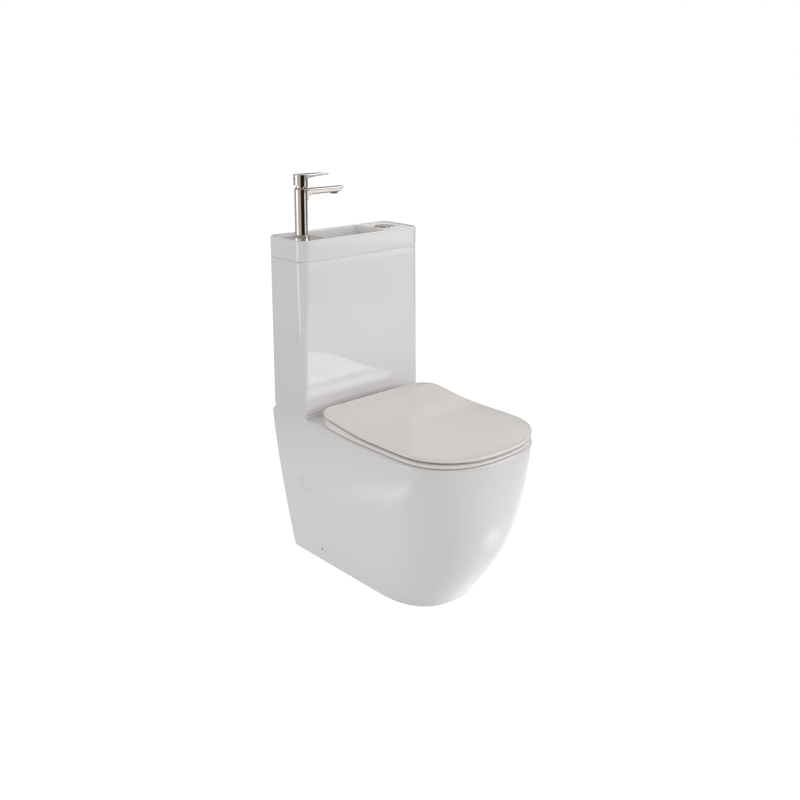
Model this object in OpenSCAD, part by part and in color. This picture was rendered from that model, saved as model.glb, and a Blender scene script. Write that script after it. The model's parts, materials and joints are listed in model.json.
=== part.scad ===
// Close-coupled toilet whose cistern lid is a small hand basin with its own tap.
// Millimetres. +Z is up, the user faces the front, which is towards -Y.
// The origin is on the floor under the middle of the whole object.
// Places are given as x, as d (the distance in front of the wall) and as z above the floor.

/* [Pan] */
// Wall to the front of the rim
pan_length = 596; // [570:2:640]
// Width of the pan over the rim
pan_width = 368; // [350:1:380]
// Width of the foot on the floor
foot_width = 248; // [220:1:270]
// Wall to the front of the foot
foot_length = 470; // [440:1:500]
// Height of the rim at the front
rim_height = 391; // [380:1:410]
// How much the deck behind the bowl is higher than the rim
deck_rise = 7; // [4:0.5:9]
// How much the shelf under the cistern is higher than the deck
shelf_step = 8.4; // [6:0.2:12]
// Thickness of the ceramic skirt
skirt_wall = 11; // [9:0.5:16]
// Thickness of the bowl's wall
bowl_wall = 10; // [9:0.5:14]
// Half width of the bowl's mouth
bowl_half_w = 141; // [130:1:146]
// Floor to the bottom of the bowl
sump_height = 88; // [80:1:100]
// Floor to the middle of the waste outlet
outlet_height = 182; // [175:1:190]
// Outer diameter of the waste outlet
outlet_d = 102; // [98:1:110]

/* [Cistern] */
// How far the cistern and the basin stand out past the pan on each side
cistern_overhang = 1; // [-4:0.5:10]
// Depth of the cistern and the basin
cistern_depth = 133; // [130:1:150]
// Height of the cistern's body, without the basin
cistern_height = 367.4; // [340:1:400]
// Thickness of the cistern's walls
cistern_wall = 8.5; // [7:0.5:10]
// Thickness of the cistern's floor
cistern_floor = 12; // [10:0.5:15]
// Radius of the cistern's front corners
front_corner = 23; // [16:1:32]
// Radius of the same corners at the cistern's foot and on the shelf below it
foot_corner = 7; // [5:0.5:24]
// Radius of the cistern's rear corners
rear_corner = 22; // [15:1:26]

/* [Basin] */
// Height of the basin's outer band
basin_height = 48.4; // [44:0.2:54]
// Height of the lip round the basin's deck
lip_height = 2.5; // [1.5:0.1:3.5]
// Width of the lip on top
lip_width = 4.4; // [3:0.1:6]
// Left end of the bowl, from the middle
bowl_left = 95; // [85:1:100]
// Right end of the bowl, from the middle
bowl_right = 86; // [80:1:92]
// Depth of the hand basin under its deck
basin_depth = 76; // [60:1:82]
// Thickness of the hand basin's walls
basin_wall = 7.5; // [6:0.5:9]

/* [Seat and lid] */
// Half width of the seat and the lid
seat_half_w = 181; // [174:0.5:183]
// Wall to the rear edge of the lid
lid_rear = 166; // [162:1:170]
// Wall to the front edge of the lid
lid_front = 593; // [570:1:594]
// Thickness of the lid
lid_thickness = 7; // [5:0.5:8]
// Gap between the lid and the seat
lid_gap = 6; // [4:0.5:8]
// Gap between the seat and the rim
seat_gap = 2.5; // [2:0.1:5]
// Thickness of the seat at the front
seat_thickness = 8; // [7:0.5:12]
// How much the lid rises towards its hinges
lid_sweep = 15; // [12:0.5:17]
// Half width of the seat's opening
opening_half_w = 108; // [95:1:115]
// Distance between the two hinge posts
hinge_spacing = 155; // [140:1:160]
// Wall to the hinge axis
hinge_d = 177; // [175:0.5:180]
// Radius of the hinge pin
hinge_pin_r = 3.5; // [3:0.1:4]

/* [Tap] */
// Middle of the tap, left of the middle of the basin
tap_x = 133; // [128:1:140]
// Radius of the tap's column
column_r = 15; // [13:0.5:16]
// Radius of the flange on the deck
flange_r = 20; // [19:0.5:24]
// Deck to the top of the spout
spout_height = 111; // [100:1:130]
// Axis to the tip of the spout
spout_reach = 122; // [105:1:130]
// Width of the spout where it leaves the column
spout_width = 25; // [22:0.5:28]
// Depth of the spout from top to underside
spout_depth = 13.5; // [12:0.5:15]
// Axis to the middle of the aerator
aerator_reach = 99; // [85:1:102]
// Radius of the handle's head
head_r = 16.5; // [15.5:0.5:18]
// Deck to the top of the handle
handle_height = 144.5; // [140:0.5:165]
// Axis to the tip of the lever
lever_reach = 78; // [65:1:90]

/* [Flush button] */
// Middle of the button, right of the middle of the basin
button_x = 120; // [116:1:125]
// Outer diameter of the button's ring
bezel_d = 37; // [36:1:42]
// Travel of the two buttons
button_travel = 7; // [5:0.5:8]
// Distance from the button's middle to each push rod
rod_offset = 8; // [7:0.5:9]

/* [Flush valve] */
// Radius of the overflow tube
tube_r = 14; // [12:0.5:15]
// Radius inside the valve's cage
cage_r = 33; // [31:0.5:35]
// Height of the cage above the cistern's floor
cage_height = 143; // [120:1:160]
// Height of the overflow tube above the cistern's floor
tube_height = 221; // [190:1:235]
// Middle of the valve to the rocker's pivot
pivot_x = 62; // [58:1:66]
// Distance from the valve's middle to each rocker, front or rear
rocker_offset = 24; // [23:0.5:26]

/* [Fill valve] */
// Middle of the fill valve, left of the middle of the cistern
fill_x = 130; // [122:1:134]
// Radius of the inlet thread
inlet_r = 10.4; // [8:0.1:10.6]
// Outer radius of the float cup
float_r = 24; // [20:1:26]
// Travel of the float cup
float_travel = 12; // [8:1:16]
// Length of the float's lever
float_lever = 32; // [30:1:36]

/* [Fixings] */
// Radius of the round cover on each side of the pan
cover_r = 20; // [16:1:22]
// Wall to the middle of that cover
cover_d = 101; // [90:1:110]
// Floor to the middle of that cover
cover_z = 217; // [200:1:230]
// Wall to the fixing holes near the floor
fixing_d = 125; // [115:1:150]
// Floor to the fixing holes
fixing_z = 38; // [30:1:45]
// Middle to each bolt between cistern and pan
coupling_x = 85; // [80:1:95]

/* [Clearances] */
// Pieces that rest on each other
seat_clear = 0.2; // [0.1:0.05:0.3]
// Pin in its bore, on the radius
pin_clear = 0.06; // [0.03:0.01:0.09]
// Pieces that slide or turn past each other
run_clear = 0.4; // [0.3:0.05:0.6]
// Bolts and threads in their holes
hole_clear = 1.2; // [0.8:0.1:1.5]

/* [Hidden] */
$fn = 64;

wall_y = pan_length / 2;
shelf_z = rim_height + deck_rise + shelf_step;
deck_top = rim_height + deck_rise;
cistern_z = shelf_z + seat_clear;
tank_floor = cistern_z + cistern_floor;
cistern_top = cistern_z + cistern_height;
basin_z = cistern_top + seat_clear;
basin_top = basin_z + basin_height;
basin_deck = basin_top - lip_height;
deck_thickness = 9.5;
deck_under = basin_deck - deck_thickness;
basin_floor = basin_deck - basin_depth;
half_cistern = pan_width / 2 + cistern_overhang;
mid_d = cistern_depth / 2;
pivot_z = tank_floor + tube_height - 37;
pad_r = 4;

// ---- places and simple solids -------------------------------------------------------

function fwd(d) = wall_y - d;

module at(x, d, z) {
    translate([x, fwd(d), z]) children();
}

module both_sides() {
    for (side = [-1, 1]) scale_x(side) children();
}

module scale_x(side) {
    if (side < 0) mirror([1, 0, 0]) children();
    else children();
}

module rod_x(r, x0, x1, d, z) {
    at(x0, d, z) rotate([0, 90, 0]) cylinder(r = r, h = x1 - x0);
}

module rod_y(r, d0, d1, x, z) {
    at(x, d1, z) rotate([-90, 0, 0]) cylinder(r = r, h = d1 - d0);
}

module rod_z(r, z0, z1, x, d) {
    at(x, d, z0) cylinder(r = r, h = z1 - z0);
}

module tube_z(r_out, r_in, z0, z1, x, d) {
    difference() {
        rod_z(r_out, z0, z1, x, d);
        rod_z(r_in, z0 - 1, z1 + 1, x, d);
    }
}

module hex_z(r, z0, z1, x, d) {
    at(x, d, z0) cylinder(r = r, h = z1 - z0, $fn = 6);
}

module block(x0, x1, d0, d1, z0, z1) {
    at(x0, d1, z0) cube([x1 - x0, d1 - d0, z1 - z0]);
}

// Block with round vertical edges
module round_block(x0, x1, d0, d1, z0, z1, r) {
    block(x0 + r, x1 - r, d0, d1, z0, z1);
    block(x0, x1, d0 + r, d1 - r, z0, z1);
    for (x = [x0 + r, x1 - r]) {
        for (d = [d0 + r, d1 - r]) rod_z(r, z0, z1, x, d);
    }
}

// ---- lofts --------------------------------------------------------------------------

function smooth(t) = let (u = max(0, min(1, t))) u * u * (3 - 2 * u);

function flat(rings) = [for (ring = rings) each ring];

function skin_faces(n, k0, k1) = [
    for (i = [0:n - 1])
        let (a = k0 * n + i, b = k0 * n + (i + 1) % n, c = k1 * n + (i + 1) % n, e = k1 * n + i)
        each [[a, e, c], [a, c, b]]
];

// Closed solid through a stack of rings with equal point counts
module loft(rings) {
    n = len(rings[0]);
    last = len(rings) - 1;
    faces = concat(
        [[for (i = [0:n - 1]) i]],
        [for (k = [0:last - 1]) each skin_faces(n, k, k + 1)],
        [[for (i = [n - 1:-1:0]) last * n + i]]);
    polyhedron(points = flat(rings), faces = faces, convexity = 8);
}

// Closed hoop through rings whose last one joins the first
module hoop(rings) {
    n = len(rings[0]);
    count = len(rings);
    faces = [for (k = [0:count - 1]) each skin_faces(n, k, (k + 1) % count)];
    polyhedron(points = flat(rings), faces = faces, convexity = 8);
}

cap_steps = 10;
side_steps = 6;
corner_steps = 3;
rear_steps = side_steps + corner_steps + 1;

// Right half of a D, front to rear: a superellipse in front, round corners behind
function d_half(w, front, cap, power, rear, corner) = concat(
    [for (i = [0:cap_steps]) let (a = 90 * i / cap_steps)
        [w * pow(sin(a), 2 / power), front - cap + cap * pow(cos(a), 2 / power)]],
    [for (i = [1:side_steps])
        [w, front - cap + (rear + corner - front + cap) * i / side_steps]],
    [for (i = [1:corner_steps]) let (a = 90 * i / corner_steps)
        [w - corner * (1 - cos(a)), rear + corner * (1 - sin(a))]],
    [[0, rear]]);

// Right half of an oval, front to rear, with its widest place at mid
function oval_half(w, front, rear, mid, power) = concat(
    [for (i = [0:cap_steps]) let (a = 90 * i / cap_steps)
        [w * pow(sin(a), 2 / power), mid + (front - mid) * pow(cos(a), 2 / power)]],
    [for (i = [1:rear_steps]) let (a = 90 * i / rear_steps)
        [w * pow(cos(a), 2 / power), mid - (mid - rear) * pow(sin(a), 2 / power)]]);

// Whole ring from its right half, with the height as a function of d
function ring(half, height) =
    let (left = [for (i = [len(half) - 2:-1:1]) [-half[i][0], half[i][1]]])
    [for (p = concat(half, left)) [p[0], fwd(p[1]), height(p[1])]];

function level_ring(half, z) = ring(half, function (d) z);

function blend_half(a, b, t) = [for (i = [0:len(a) - 1]) a[i] * (1 - t) + b[i] * t];

// Round rectangle as a level ring, from x0 to x1 and from d0 (rear) to d1 (front)
corner_points = 8;
function box_ring(x0, x1, d0, d1, rf, rr, z) = [
    for (q = [0:3])
        let (
            front = q < 2,
            right = q == 1 || q == 2,
            r = front ? rf : rr,
            cx = right ? x1 - r : x0 + r,
            cd = front ? d1 - r : d0 + r)
        for (i = [0:corner_points])
            let (a = 180 + 90 * q + 90 * i / corner_points)
            [cx + r * cos(a), fwd(cd) + r * sin(a), z]
];

// ---- pan ----------------------------------------------------------------------------

foot_cap = 146;
rim_cap = 150;
cap_bulge = 28;
flare_height = rim_height + 11;
deck_front = 310;
deck_ramp = 130;

function deck_z(d) = rim_height + deck_rise * smooth((deck_front - d) / deck_ramp);

function pan_half_w(z) =
    foot_width / 2 + (pan_width - foot_width) / 2 * (1 - pow(1 - z / flare_height, 1.33));

function pan_front(z) = let (t = min(1, z / rim_height))
    foot_length + (pan_length - foot_length) * pow(1 - pow(1 - t, 2.8), 1.15);

function pan_cap(z) = let (t = min(1, z / rim_height))
    foot_cap + (rim_cap - foot_cap) * t + cap_bulge * 4 * t * (1 - t);

function pan_power(z) = 2.5 - 0.2 * z / rim_height;

// Outline of the pan's skin at height z, drawn in by inset
function skin_half(z, inset, rear) = d_half(
    pan_half_w(z) - inset, pan_front(z) - inset, pan_cap(z) - inset, pan_power(z), rear, 4);

bowl_front = pan_length - 45;
bowl_rear = 214;
sump_half = [36, 345, 262];

function bowl_z(t) = sump_height + (rim_height - 4 - sump_height) * t;

// Outline of the toilet bowl, from its sump (t = 0) to its mouth (t = 1)
function bowl_half(t, grow) = let (
    w = sump_half[0] + (bowl_half_w - sump_half[0]) * pow(t, 0.52) + grow,
    front = sump_half[1] + (bowl_front - sump_half[1]) * pow(t, 0.66) + grow,
    rear = sump_half[2] + (bowl_rear - sump_half[2]) * pow(t, 0.6) - grow)
    oval_half(w, front, rear, rear + (front - rear) * 0.52, 2.2);

ceiling_z = rim_height - 23;

pan_rings = concat(
    [for (t = [0, 0.1, 0.25, 0.45, 0.65, 0.84])
        level_ring(bowl_half(t, bowl_wall), bowl_z(t) - bowl_wall * (1 - t))],
    [level_ring(bowl_half(0.93, bowl_wall + 3), ceiling_z)],
    [level_ring(skin_half(ceiling_z, skirt_wall + 8, skirt_wall + 1), ceiling_z)],
    [level_ring(skin_half(ceiling_z, skirt_wall, skirt_wall + 1), ceiling_z - 7)],
    [for (z = [330, 270, 210, 150, 100, 50, 0])
        level_ring(skin_half(z, skirt_wall, skirt_wall + 1), z)],
    [level_ring(skin_half(0, 1.2, 0), 0)],
    [for (z = [1.2, 20, 45, 75, 105, 140, 180, 220, 260, 300, 340, rim_height - 18])
        level_ring(skin_half(z, 0, 0), z)],
    [for (edge = [[0, 7], [1.2, 2.6], [3.6, 0.6], [7, 0]])
        ring(skin_half(rim_height, edge[0], edge[0] / 4), function (d) deck_z(d) - edge[1])],
    [for (edge = [[5, 0], [1.6, 0.9]])
        ring(bowl_half(1, edge[0]), function (d) deck_z(d) - edge[1])],
    [for (t = [1, 0.93, 0.8, 0.65, 0.5, 0.35, 0.22, 0.1, 0.03, 0])
        level_ring(bowl_half(t, 0), bowl_z(t))]);

// Way of the trap as [d, z]: throat, dip, rise, crest, drop and outlet
trap_r = 27;
trap_wall = 9;
trap_sides = 16;
trap_bend = 38;
throat = [249, sump_height + 29];
dip = [219, sump_height + 61];
crest = [dip[0] - 2 * trap_bend, outlet_height + 1];
crest_turn = acos(1 - (trap_bend + crest[1] - outlet_height) / (2 * trap_bend));
drop = [crest[0] - 2 * trap_bend * sin(crest_turn), outlet_height + trap_bend];
outlet_d0 = 40;
outlet_d1 = 80;

function bend(centre, a0, a1, first) = [
    for (i = [first:4])
        let (a = a0 + (a1 - a0) * i / 4)
        centre + trap_bend * [cos(a), sin(a)]
];

trap_path = concat(
    [throat], bend(dip, -76, -180, 0), bend(crest, 0, 90 + crest_turn, 0),
    bend(drop, crest_turn - 90, -90, 1), [[drop[0] - 16, outlet_height]]);

function trap_way(i) = let (
    a = trap_path[max(0, i - 1)],
    b = trap_path[min(len(trap_path) - 1, i + 1)])
    (b - a) / norm(b - a);

// Ring across the trap at its point i, moved along the way by shift
function trap_ring(i, r, shift) = let (way = trap_way(i), p = trap_path[i] + shift * way)
    [for (k = [0:trap_sides - 1]) let (a = 360 * k / trap_sides)
        [r * cos(a), fwd(p[0] - way[1] * r * sin(a)), p[1] + way[0] * r * sin(a)]];

module trap(r, reach) {
    last = len(trap_path) - 1;
    loft([for (i = [0:last]) trap_ring(i, r, i == 0 ? -reach : i == last ? reach / 4 : 0)]);
}

hinge_pad_r = 11;
shelf_recess_r = 50;
shelf_recess_z = shelf_z - 28;
inlet_bore_r = 30;
duct_z = [ceiling_z - 46, ceiling_z + 8];
duct_wall = 12;

module flush_duct(grow) {
    w = 48 + grow;
    round_block(-w, w, mid_d - 47 - grow, mid_d + 49 + grow,
        duct_z[0] + duct_wall - grow, duct_z[1] - duct_wall + grow, 8 + grow / 2);
    block(-30 - grow, 30 + grow, mid_d, bowl_rear - 6 + (grow > 0 ? 0 : 20),
        duct_z[0] + duct_wall + 4 - grow, duct_z[1] - duct_wall - 2 + grow);
}

rear_gap_z = 290;

module rear_gap() {
    lower = foot_width / 2 - skirt_wall - 7;
    upper = pan_half_w(rear_gap_z) - skirt_wall - 12;
    at(0, skirt_wall + 3, 0) rotate([90, 0, 0]) mirror([0, 0, 1])
        linear_extrude(height = skirt_wall + 4)
            polygon([[-lower, -1], [lower, -1], [upper, rear_gap_z], [-upper, rear_gap_z]]);
}

// Turns a thing that points along +X to stand square on the pan's right side
module on_side(d, z) {
    slope = atan((pan_half_w(z + 5) - pan_half_w(z - 5)) / 10);
    at(pan_half_w(z), d, z) rotate([0, slope, 0]) children();
}

cover_thickness = 2;
cover_stem_r = 14;

module side_hole() {
    on_side(cover_d, cover_z) {
        rotate([0, 90, 0]) translate([0, 0, -30]) cylinder(r = cover_stem_r + run_clear, h = 40);
        rotate([0, 90, 0]) translate([0, 0, -cover_thickness - seat_clear])
            cylinder(r = cover_r + run_clear, h = 12);
    }
}

fixing_r = 3.6;

module pan() {
    color("whitesmoke") difference() {
        union() {
            loft(pan_rings);
            loft([for (z = [deck_top - 12, shelf_z]) box_ring(
                -half_cistern + 1.5, half_cistern - 1.5, 0, cistern_depth + 1,
                foot_corner, rear_corner, z)]);
            flush_duct(duct_wall);
            trap(trap_r + trap_wall, 0);
            rod_y(outlet_d / 2, outlet_d0, outlet_d1, 0, outlet_height);
            both_sides() rod_z(hinge_pad_r, ceiling_z + 4, deck_top, hinge_spacing / 2, hinge_d);
        }
        rear_gap();
        flush_duct(0);
        trap(trap_r, 30);
        rod_y(trap_r + 4, outlet_d0 - 1, outlet_d0 + 26, 0, outlet_height);
        rod_z(shelf_recess_r, shelf_recess_z, shelf_z + 1, 0, mid_d);
        rod_z(inlet_bore_r, duct_z[0] + duct_wall + 10, shelf_z, 0, mid_d);
        rod_z(2 * inlet_r, ceiling_z - 20, shelf_z + 1, -fill_x, mid_d);
        both_sides() {
            rod_z(coupling_r + hole_clear, ceiling_z - 20, shelf_z + 1, coupling_x, mid_d);
            rod_z(plug_r + seat_clear, ceiling_z - 20, deck_top + 1, hinge_spacing / 2, hinge_d);
            side_hole();
            rod_x(fixing_r, foot_width / 2 - 34, foot_width / 2 + 26, fixing_d, fixing_z);
        }
    }
}

// ---- cistern ------------------------------------------------------------------------

// The front corners open from the foot of the cistern to its top
function corner_at(z) = foot_corner + (front_corner - foot_corner)
    * max(0, min(1, (z - cistern_z) / (cistern_top - cistern_z)));

// Ring of the cistern's outline, drawn in by inset
function cistern_ring(inset, z) = box_ring(
    -half_cistern + inset, half_cistern - inset, inset, cistern_depth - inset,
    corner_at(z) - inset, rear_corner - inset, z);

bottom_round = 2.5;
top_round = 3.6;

function round_up(r, z) = [for (a = [0:22.5:90]) cistern_ring(r * (1 - sin(a)), z + r * (1 - cos(a)))];
function round_in(r, z) = [for (a = [0:30:90]) cistern_ring(r * (1 - cos(a)), z - r * (1 - sin(a)))];

module cistern() {
    wall = cistern_wall;
    color("whitesmoke") difference() {
        loft(concat(round_up(bottom_round, cistern_z), round_in(top_round, cistern_top)));
        round_block(-half_cistern + wall, half_cistern - wall, wall, cistern_depth - wall,
            tank_floor, cistern_top + 1, rear_corner - wall);
        rod_z(shank_r + hole_clear, cistern_z - 1, tank_floor + 1, 0, mid_d);
        rod_z(inlet_r + hole_clear, cistern_z - 1, tank_floor + 1, -fill_x, mid_d);
        both_sides() rod_z(coupling_r + hole_clear, cistern_z - 1, tank_floor + 1, coupling_x, mid_d);
    }
}

// ---- basin --------------------------------------------------------------------------

bowl_lean = 9;

// Ring of the hand basin, inset from its mouth, leaning in at front and rear
function basin_ring(inset, lean, r, z) = box_ring(
    -bowl_left + inset, bowl_right - inset, 9.4 + inset + lean, cistern_depth - 9.4 - inset - lean,
    r, r, z);

basin_rings = concat(
    [basin_ring(7, bowl_lean, 12, basin_floor - 8),
        basin_ring(1, bowl_lean, 14, basin_floor - 5),
        basin_ring(-basin_wall + 1.5, bowl_lean - 1, 18, basin_floor + 8),
        basin_ring(-basin_wall, bowl_lean, 18, basin_z),
        cistern_ring(0.8, basin_z), cistern_ring(0, basin_z + 0.8)],
    [for (a = [0:30:90]) cistern_ring(2.4 * (1 - cos(a)), basin_top - 2.4 * (1 - sin(a)))],
    [cistern_ring(lip_width - 1, basin_top), cistern_ring(lip_width - 0.2, basin_top - 0.8),
        cistern_ring(lip_width + 0.4, basin_deck + 0.5), cistern_ring(lip_width + 1.2, basin_deck)],
    [basin_ring(-2, 0, 13, basin_deck), basin_ring(-0.8, 0, 12, basin_deck - 0.5),
        basin_ring(0, 0, 12, basin_deck - 2.4), basin_ring(0.6, 1.8, 12, basin_deck - 10),
        basin_ring(1, bowl_lean - 1, 12, basin_z - 1),
        basin_ring(2.5, bowl_lean + 1, 13, basin_floor + 10),
        basin_ring(6.5, bowl_lean + 2, 14, basin_floor + 2.5),
        basin_ring(13, bowl_lean + 5, 12, basin_floor)]);

waste_x = (bowl_right - bowl_left) / 2;
waste_r = 15.8;
waste_flange_r = 21;
tap_hole_r = flange_r - 3;
housing_r = bezel_d / 2 - 2;

module basin() {
    wall = cistern_wall;
    color("whitesmoke") difference() {
        loft(basin_rings);
        round_block(-half_cistern + wall, -bowl_left - basin_wall - 1, wall, cistern_depth - wall,
            basin_z - 1, deck_under, 10);
        round_block(bowl_right + basin_wall + 1, half_cistern - wall, wall, cistern_depth - wall,
            basin_z - 1, deck_under, 10);
        rod_z(tap_hole_r, deck_under - 1, basin_top + 1, -tap_x, mid_d);
        rod_z(housing_r + hole_clear / 2, deck_under - 1, basin_top + 1, button_x, mid_d);
        rod_z(waste_r + hole_clear, basin_floor - 20, basin_floor + 1, waste_x, mid_d);
        rod_z(waste_flange_r + hole_clear / 2, basin_floor - 2.5, basin_floor + 5, waste_x, mid_d);
    }
}

waste_end = basin_floor - 46;

module basin_waste() {
    color("silver") difference() {
        union() {
            rod_z(waste_flange_r, basin_floor - 2.5 + seat_clear, basin_floor + 0.5, waste_x, mid_d);
            rod_z(waste_r, waste_end, basin_floor, waste_x, mid_d);
        }
        rod_z(waste_r - 2.5, waste_end - 1, basin_floor - 3, waste_x, mid_d);
        for (a = [0:60:300]) {
            rod_z(2.4, basin_floor - 5, basin_floor + 5, waste_x + 8.5 * cos(a), mid_d + 8.5 * sin(a));
        }
        rod_z(2.4, basin_floor - 5, basin_floor + 5, waste_x, mid_d);
    }
}

module waste_gasket() {
    color("dimgray") tube_z(22, waste_r + run_clear, basin_floor - 11, basin_floor - 8 - seat_clear,
        waste_x, mid_d);
}

module waste_nut() {
    color("white") difference() {
        hex_z(24, basin_floor - 19, basin_floor - 11 - seat_clear, waste_x, mid_d);
        rod_z(waste_r + pin_clear, basin_floor - 20, basin_floor, waste_x, mid_d);
    }
}

// ---- seat and lid -------------------------------------------------------------------

seat_front_top = rim_height + seat_gap + seat_thickness;
lid_front_top = seat_front_top + lid_gap + lid_thickness;
sweep_start = 370;
sweep_length = 180;
front_droop = 2.4;

function lid_top(d) = lid_front_top
    + lid_sweep * smooth(pow(max(0, (sweep_start - d) / sweep_length), 1.3))
    - front_droop * pow(max(0, (d - lid_front + 60) / 60), 2);

function lid_under(d) = lid_top(d) - lid_thickness;
function seat_top(d) = lid_under(d) - lid_gap;
function seat_under(d) = deck_z(d) + seat_gap;

lid_cap = 150;
lid_power = 2.4;
lid_corner = 50;

function lid_half(inset, rear) = d_half(
    seat_half_w - inset, lid_front - inset, lid_cap - inset, lid_power, rear + inset, lid_corner);

// Outline shrunk towards the middle of the lid
function shrunk(half, share) = [for (p = half) [p[0] * share, 390 + (p[1] - 390) * share]];

shares = [0.02, 0.2, 0.4, 0.6, 0.75, 0.88];

lid_rings = concat(
    [for (s = shares) ring(shrunk(lid_half(2, lid_rear), s), function (d) lid_under(d))],
    [for (edge = [[2, 0], [0.6, 0.8], [0, 2.2]])
        ring(lid_half(edge[0], lid_rear), function (d) lid_under(d) + edge[1])],
    [for (edge = [[0, 2.6], [0.5, 1.2], [1.4, 0.4], [2.8, 0]])
        ring(lid_half(edge[0], lid_rear), function (d) lid_top(d) - edge[1])],
    [for (i = [len(shares) - 1:-1:0])
        ring(shrunk(lid_half(2.8, lid_rear), shares[i]), function (d) lid_top(d))]);

hinge_z = deck_top + 15;
barrel_r = 8.5;
post_w = 15;
ear_w = 12.5;
post_x0 = hinge_spacing / 2 - post_w / 2;
post_x1 = hinge_spacing / 2 + post_w / 2;
ear_gap = 0.5;
damper_r = 6.2;
damper_l = 25;
lid_ear = [post_x0 - ear_gap - ear_w, post_x0 - ear_gap];
seat_ear = [post_x1 + ear_gap, post_x1 + ear_gap + ear_w];
pin_bore_r = hinge_pin_r + pin_clear;

// Hinge barrel of the lid or the seat, with room for a damper past its ear
module barrel(x0, x1) {
    rod_x(barrel_r, x0, x1, hinge_d, hinge_z);
}

module lid() {
    inner = lid_ear[0] - damper_l - 3;
    color("white") difference() {
        union() {
            loft(lid_rings);
            both_sides() {
                barrel(inner, lid_ear[1]);
                block(inner, lid_ear[1], hinge_d - 6, hinge_d + 6, hinge_z, lid_under(hinge_d) + 2);
            }
        }
        both_sides() {
            rod_x(pin_bore_r, lid_ear[0] - 1, lid_ear[1] + 1, hinge_d, hinge_z);
            rod_x(damper_r + seat_clear, lid_ear[0] - damper_l - 1, lid_ear[0], hinge_d, hinge_z);
        }
    }
}

seat_rear = lid_rear + 5.5;
notch_d = hinge_d + 14;

function seat_half(inset) = d_half(
    seat_half_w - 0.4 - inset, lid_front - 0.6 - inset, lid_cap - inset, lid_power,
    seat_rear + inset, lid_corner);

opening_rear = 256;
rim_of_seat = 71;
opening_front = lid_front - rim_of_seat;

function opening_half(grow) = oval_half(
    opening_half_w + grow, opening_front + grow, opening_rear - grow,
    (opening_front + opening_rear) / 2, 2.3);

seat_rings = concat(
    [for (edge = [[2.2, 0], [0.6, 0.8], [0, 2.4]])
        ring(seat_half(edge[0]), function (d) seat_under(d) + edge[1])],
    [for (edge = [[0, 2.8], [0.8, 0.9], [2.6, 0]])
        ring(seat_half(edge[0]), function (d) seat_top(d) - edge[1])],
    [for (mix = [[0.35, 0], [0.7, 0.7]])
        ring(blend_half(seat_half(2.6), opening_half(2), mix[0]), function (d) seat_top(d) - mix[1])],
    [for (edge = [[2.5, 2], [0.6, 3.2], [0, 4.6]])
        ring(opening_half(edge[0]), function (d) seat_top(d) - edge[1])],
    [ring(opening_half(0.8), function (d) seat_under(d) + 0.4),
        ring(opening_half(3), function (d) seat_under(d)),
        ring(blend_half(seat_half(2.2), opening_half(3), 0.5), function (d) seat_under(d))]);

module seat() {
    outer = seat_ear[1] + damper_l + 3;
    color("white") difference() {
        union() {
            difference() {
                hoop(seat_rings);
                block(-seat_ear[0], seat_ear[0], seat_rear - 5, notch_d, deck_top, hinge_z + 20);
            }
            both_sides() {
                barrel(seat_ear[0], outer);
                block(seat_ear[0], outer, hinge_d, hinge_d + 20, seat_under(hinge_d) + 1, hinge_z);
            }
        }
        both_sides() {
            rod_x(pin_bore_r, seat_ear[0] - 1, seat_ear[1] + 1, hinge_d, hinge_z);
            rod_x(damper_r + seat_clear, seat_ear[1], seat_ear[1] + damper_l + 1, hinge_d, hinge_z);
        }
    }
}

seat_buffer_places = [[161, 330], [95, 546]];
lid_buffer_places = [[150, 392], [80, 518]];
buffer_r = 7;

module lid_buffers() {
    color("gainsboro") both_sides() for (p = lid_buffer_places) {
        rod_z(buffer_r, seat_top(p[1]) + seat_clear, lid_under(p[1]) - seat_clear, p[0], p[1]);
    }
}

module seat_buffers() {
    color("gainsboro") both_sides() for (p = seat_buffer_places) {
        rod_z(buffer_r, deck_z(p[1]) + seat_clear, seat_under(p[1]) - seat_clear, p[0], p[1]);
    }
}

stud_r = 3;
plug_r = 6.8;

module hinge_post(side) {
    color("silver") scale_x(side) difference() {
        union() {
            round_block(post_x0, post_x1, hinge_d - 11, hinge_d + 11,
                deck_top + seat_clear, deck_top + 2.4, 4);
            round_block(post_x0, post_x1, hinge_d - 7, hinge_d + 7, deck_top + 2, hinge_z, 3);
            rod_x(barrel_r, post_x0, post_x1, hinge_d, hinge_z);
        }
        rod_x(hinge_pin_r + pin_clear, post_x0 - 1, post_x1 + 1, hinge_d, hinge_z);
        rod_z(stud_r + pin_clear, deck_top - 1, deck_top + 9, hinge_spacing / 2, hinge_d);
    }
}

module hinge_post_left() {
    hinge_post(-1);
}

module hinge_post_right() {
    hinge_post(1);
}

module hinge_pins() {
    color("silver") {
        rod_x(hinge_pin_r, -seat_ear[1] - 12, -lid_ear[0] - 1, hinge_d, hinge_z);
        rod_x(hinge_pin_r, lid_ear[0] - 12, seat_ear[1] - 1, hinge_d, hinge_z);
    }
}

module lid_damper() {
    color("lightgray") difference() {
        rod_x(damper_r, lid_ear[0] - damper_l, lid_ear[0] - seat_clear, hinge_d, hinge_z);
        rod_x(pin_bore_r, lid_ear[0] - 13, lid_ear[0] + 1, hinge_d, hinge_z);
    }
}

module seat_damper() {
    color("lightgray") difference() {
        rod_x(damper_r, -seat_ear[1] - damper_l, -seat_ear[1] - seat_clear, hinge_d, hinge_z);
        rod_x(pin_bore_r, -seat_ear[1] - 13, -seat_ear[1] + 1, hinge_d, hinge_z);
    }
}

plug_z = [ceiling_z + 9, deck_top];

module hinge_studs() {
    color("silver") both_sides() rod_z(stud_r, plug_z[0] - 14, deck_top + 9 - seat_clear,
        hinge_spacing / 2, hinge_d);
}

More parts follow.
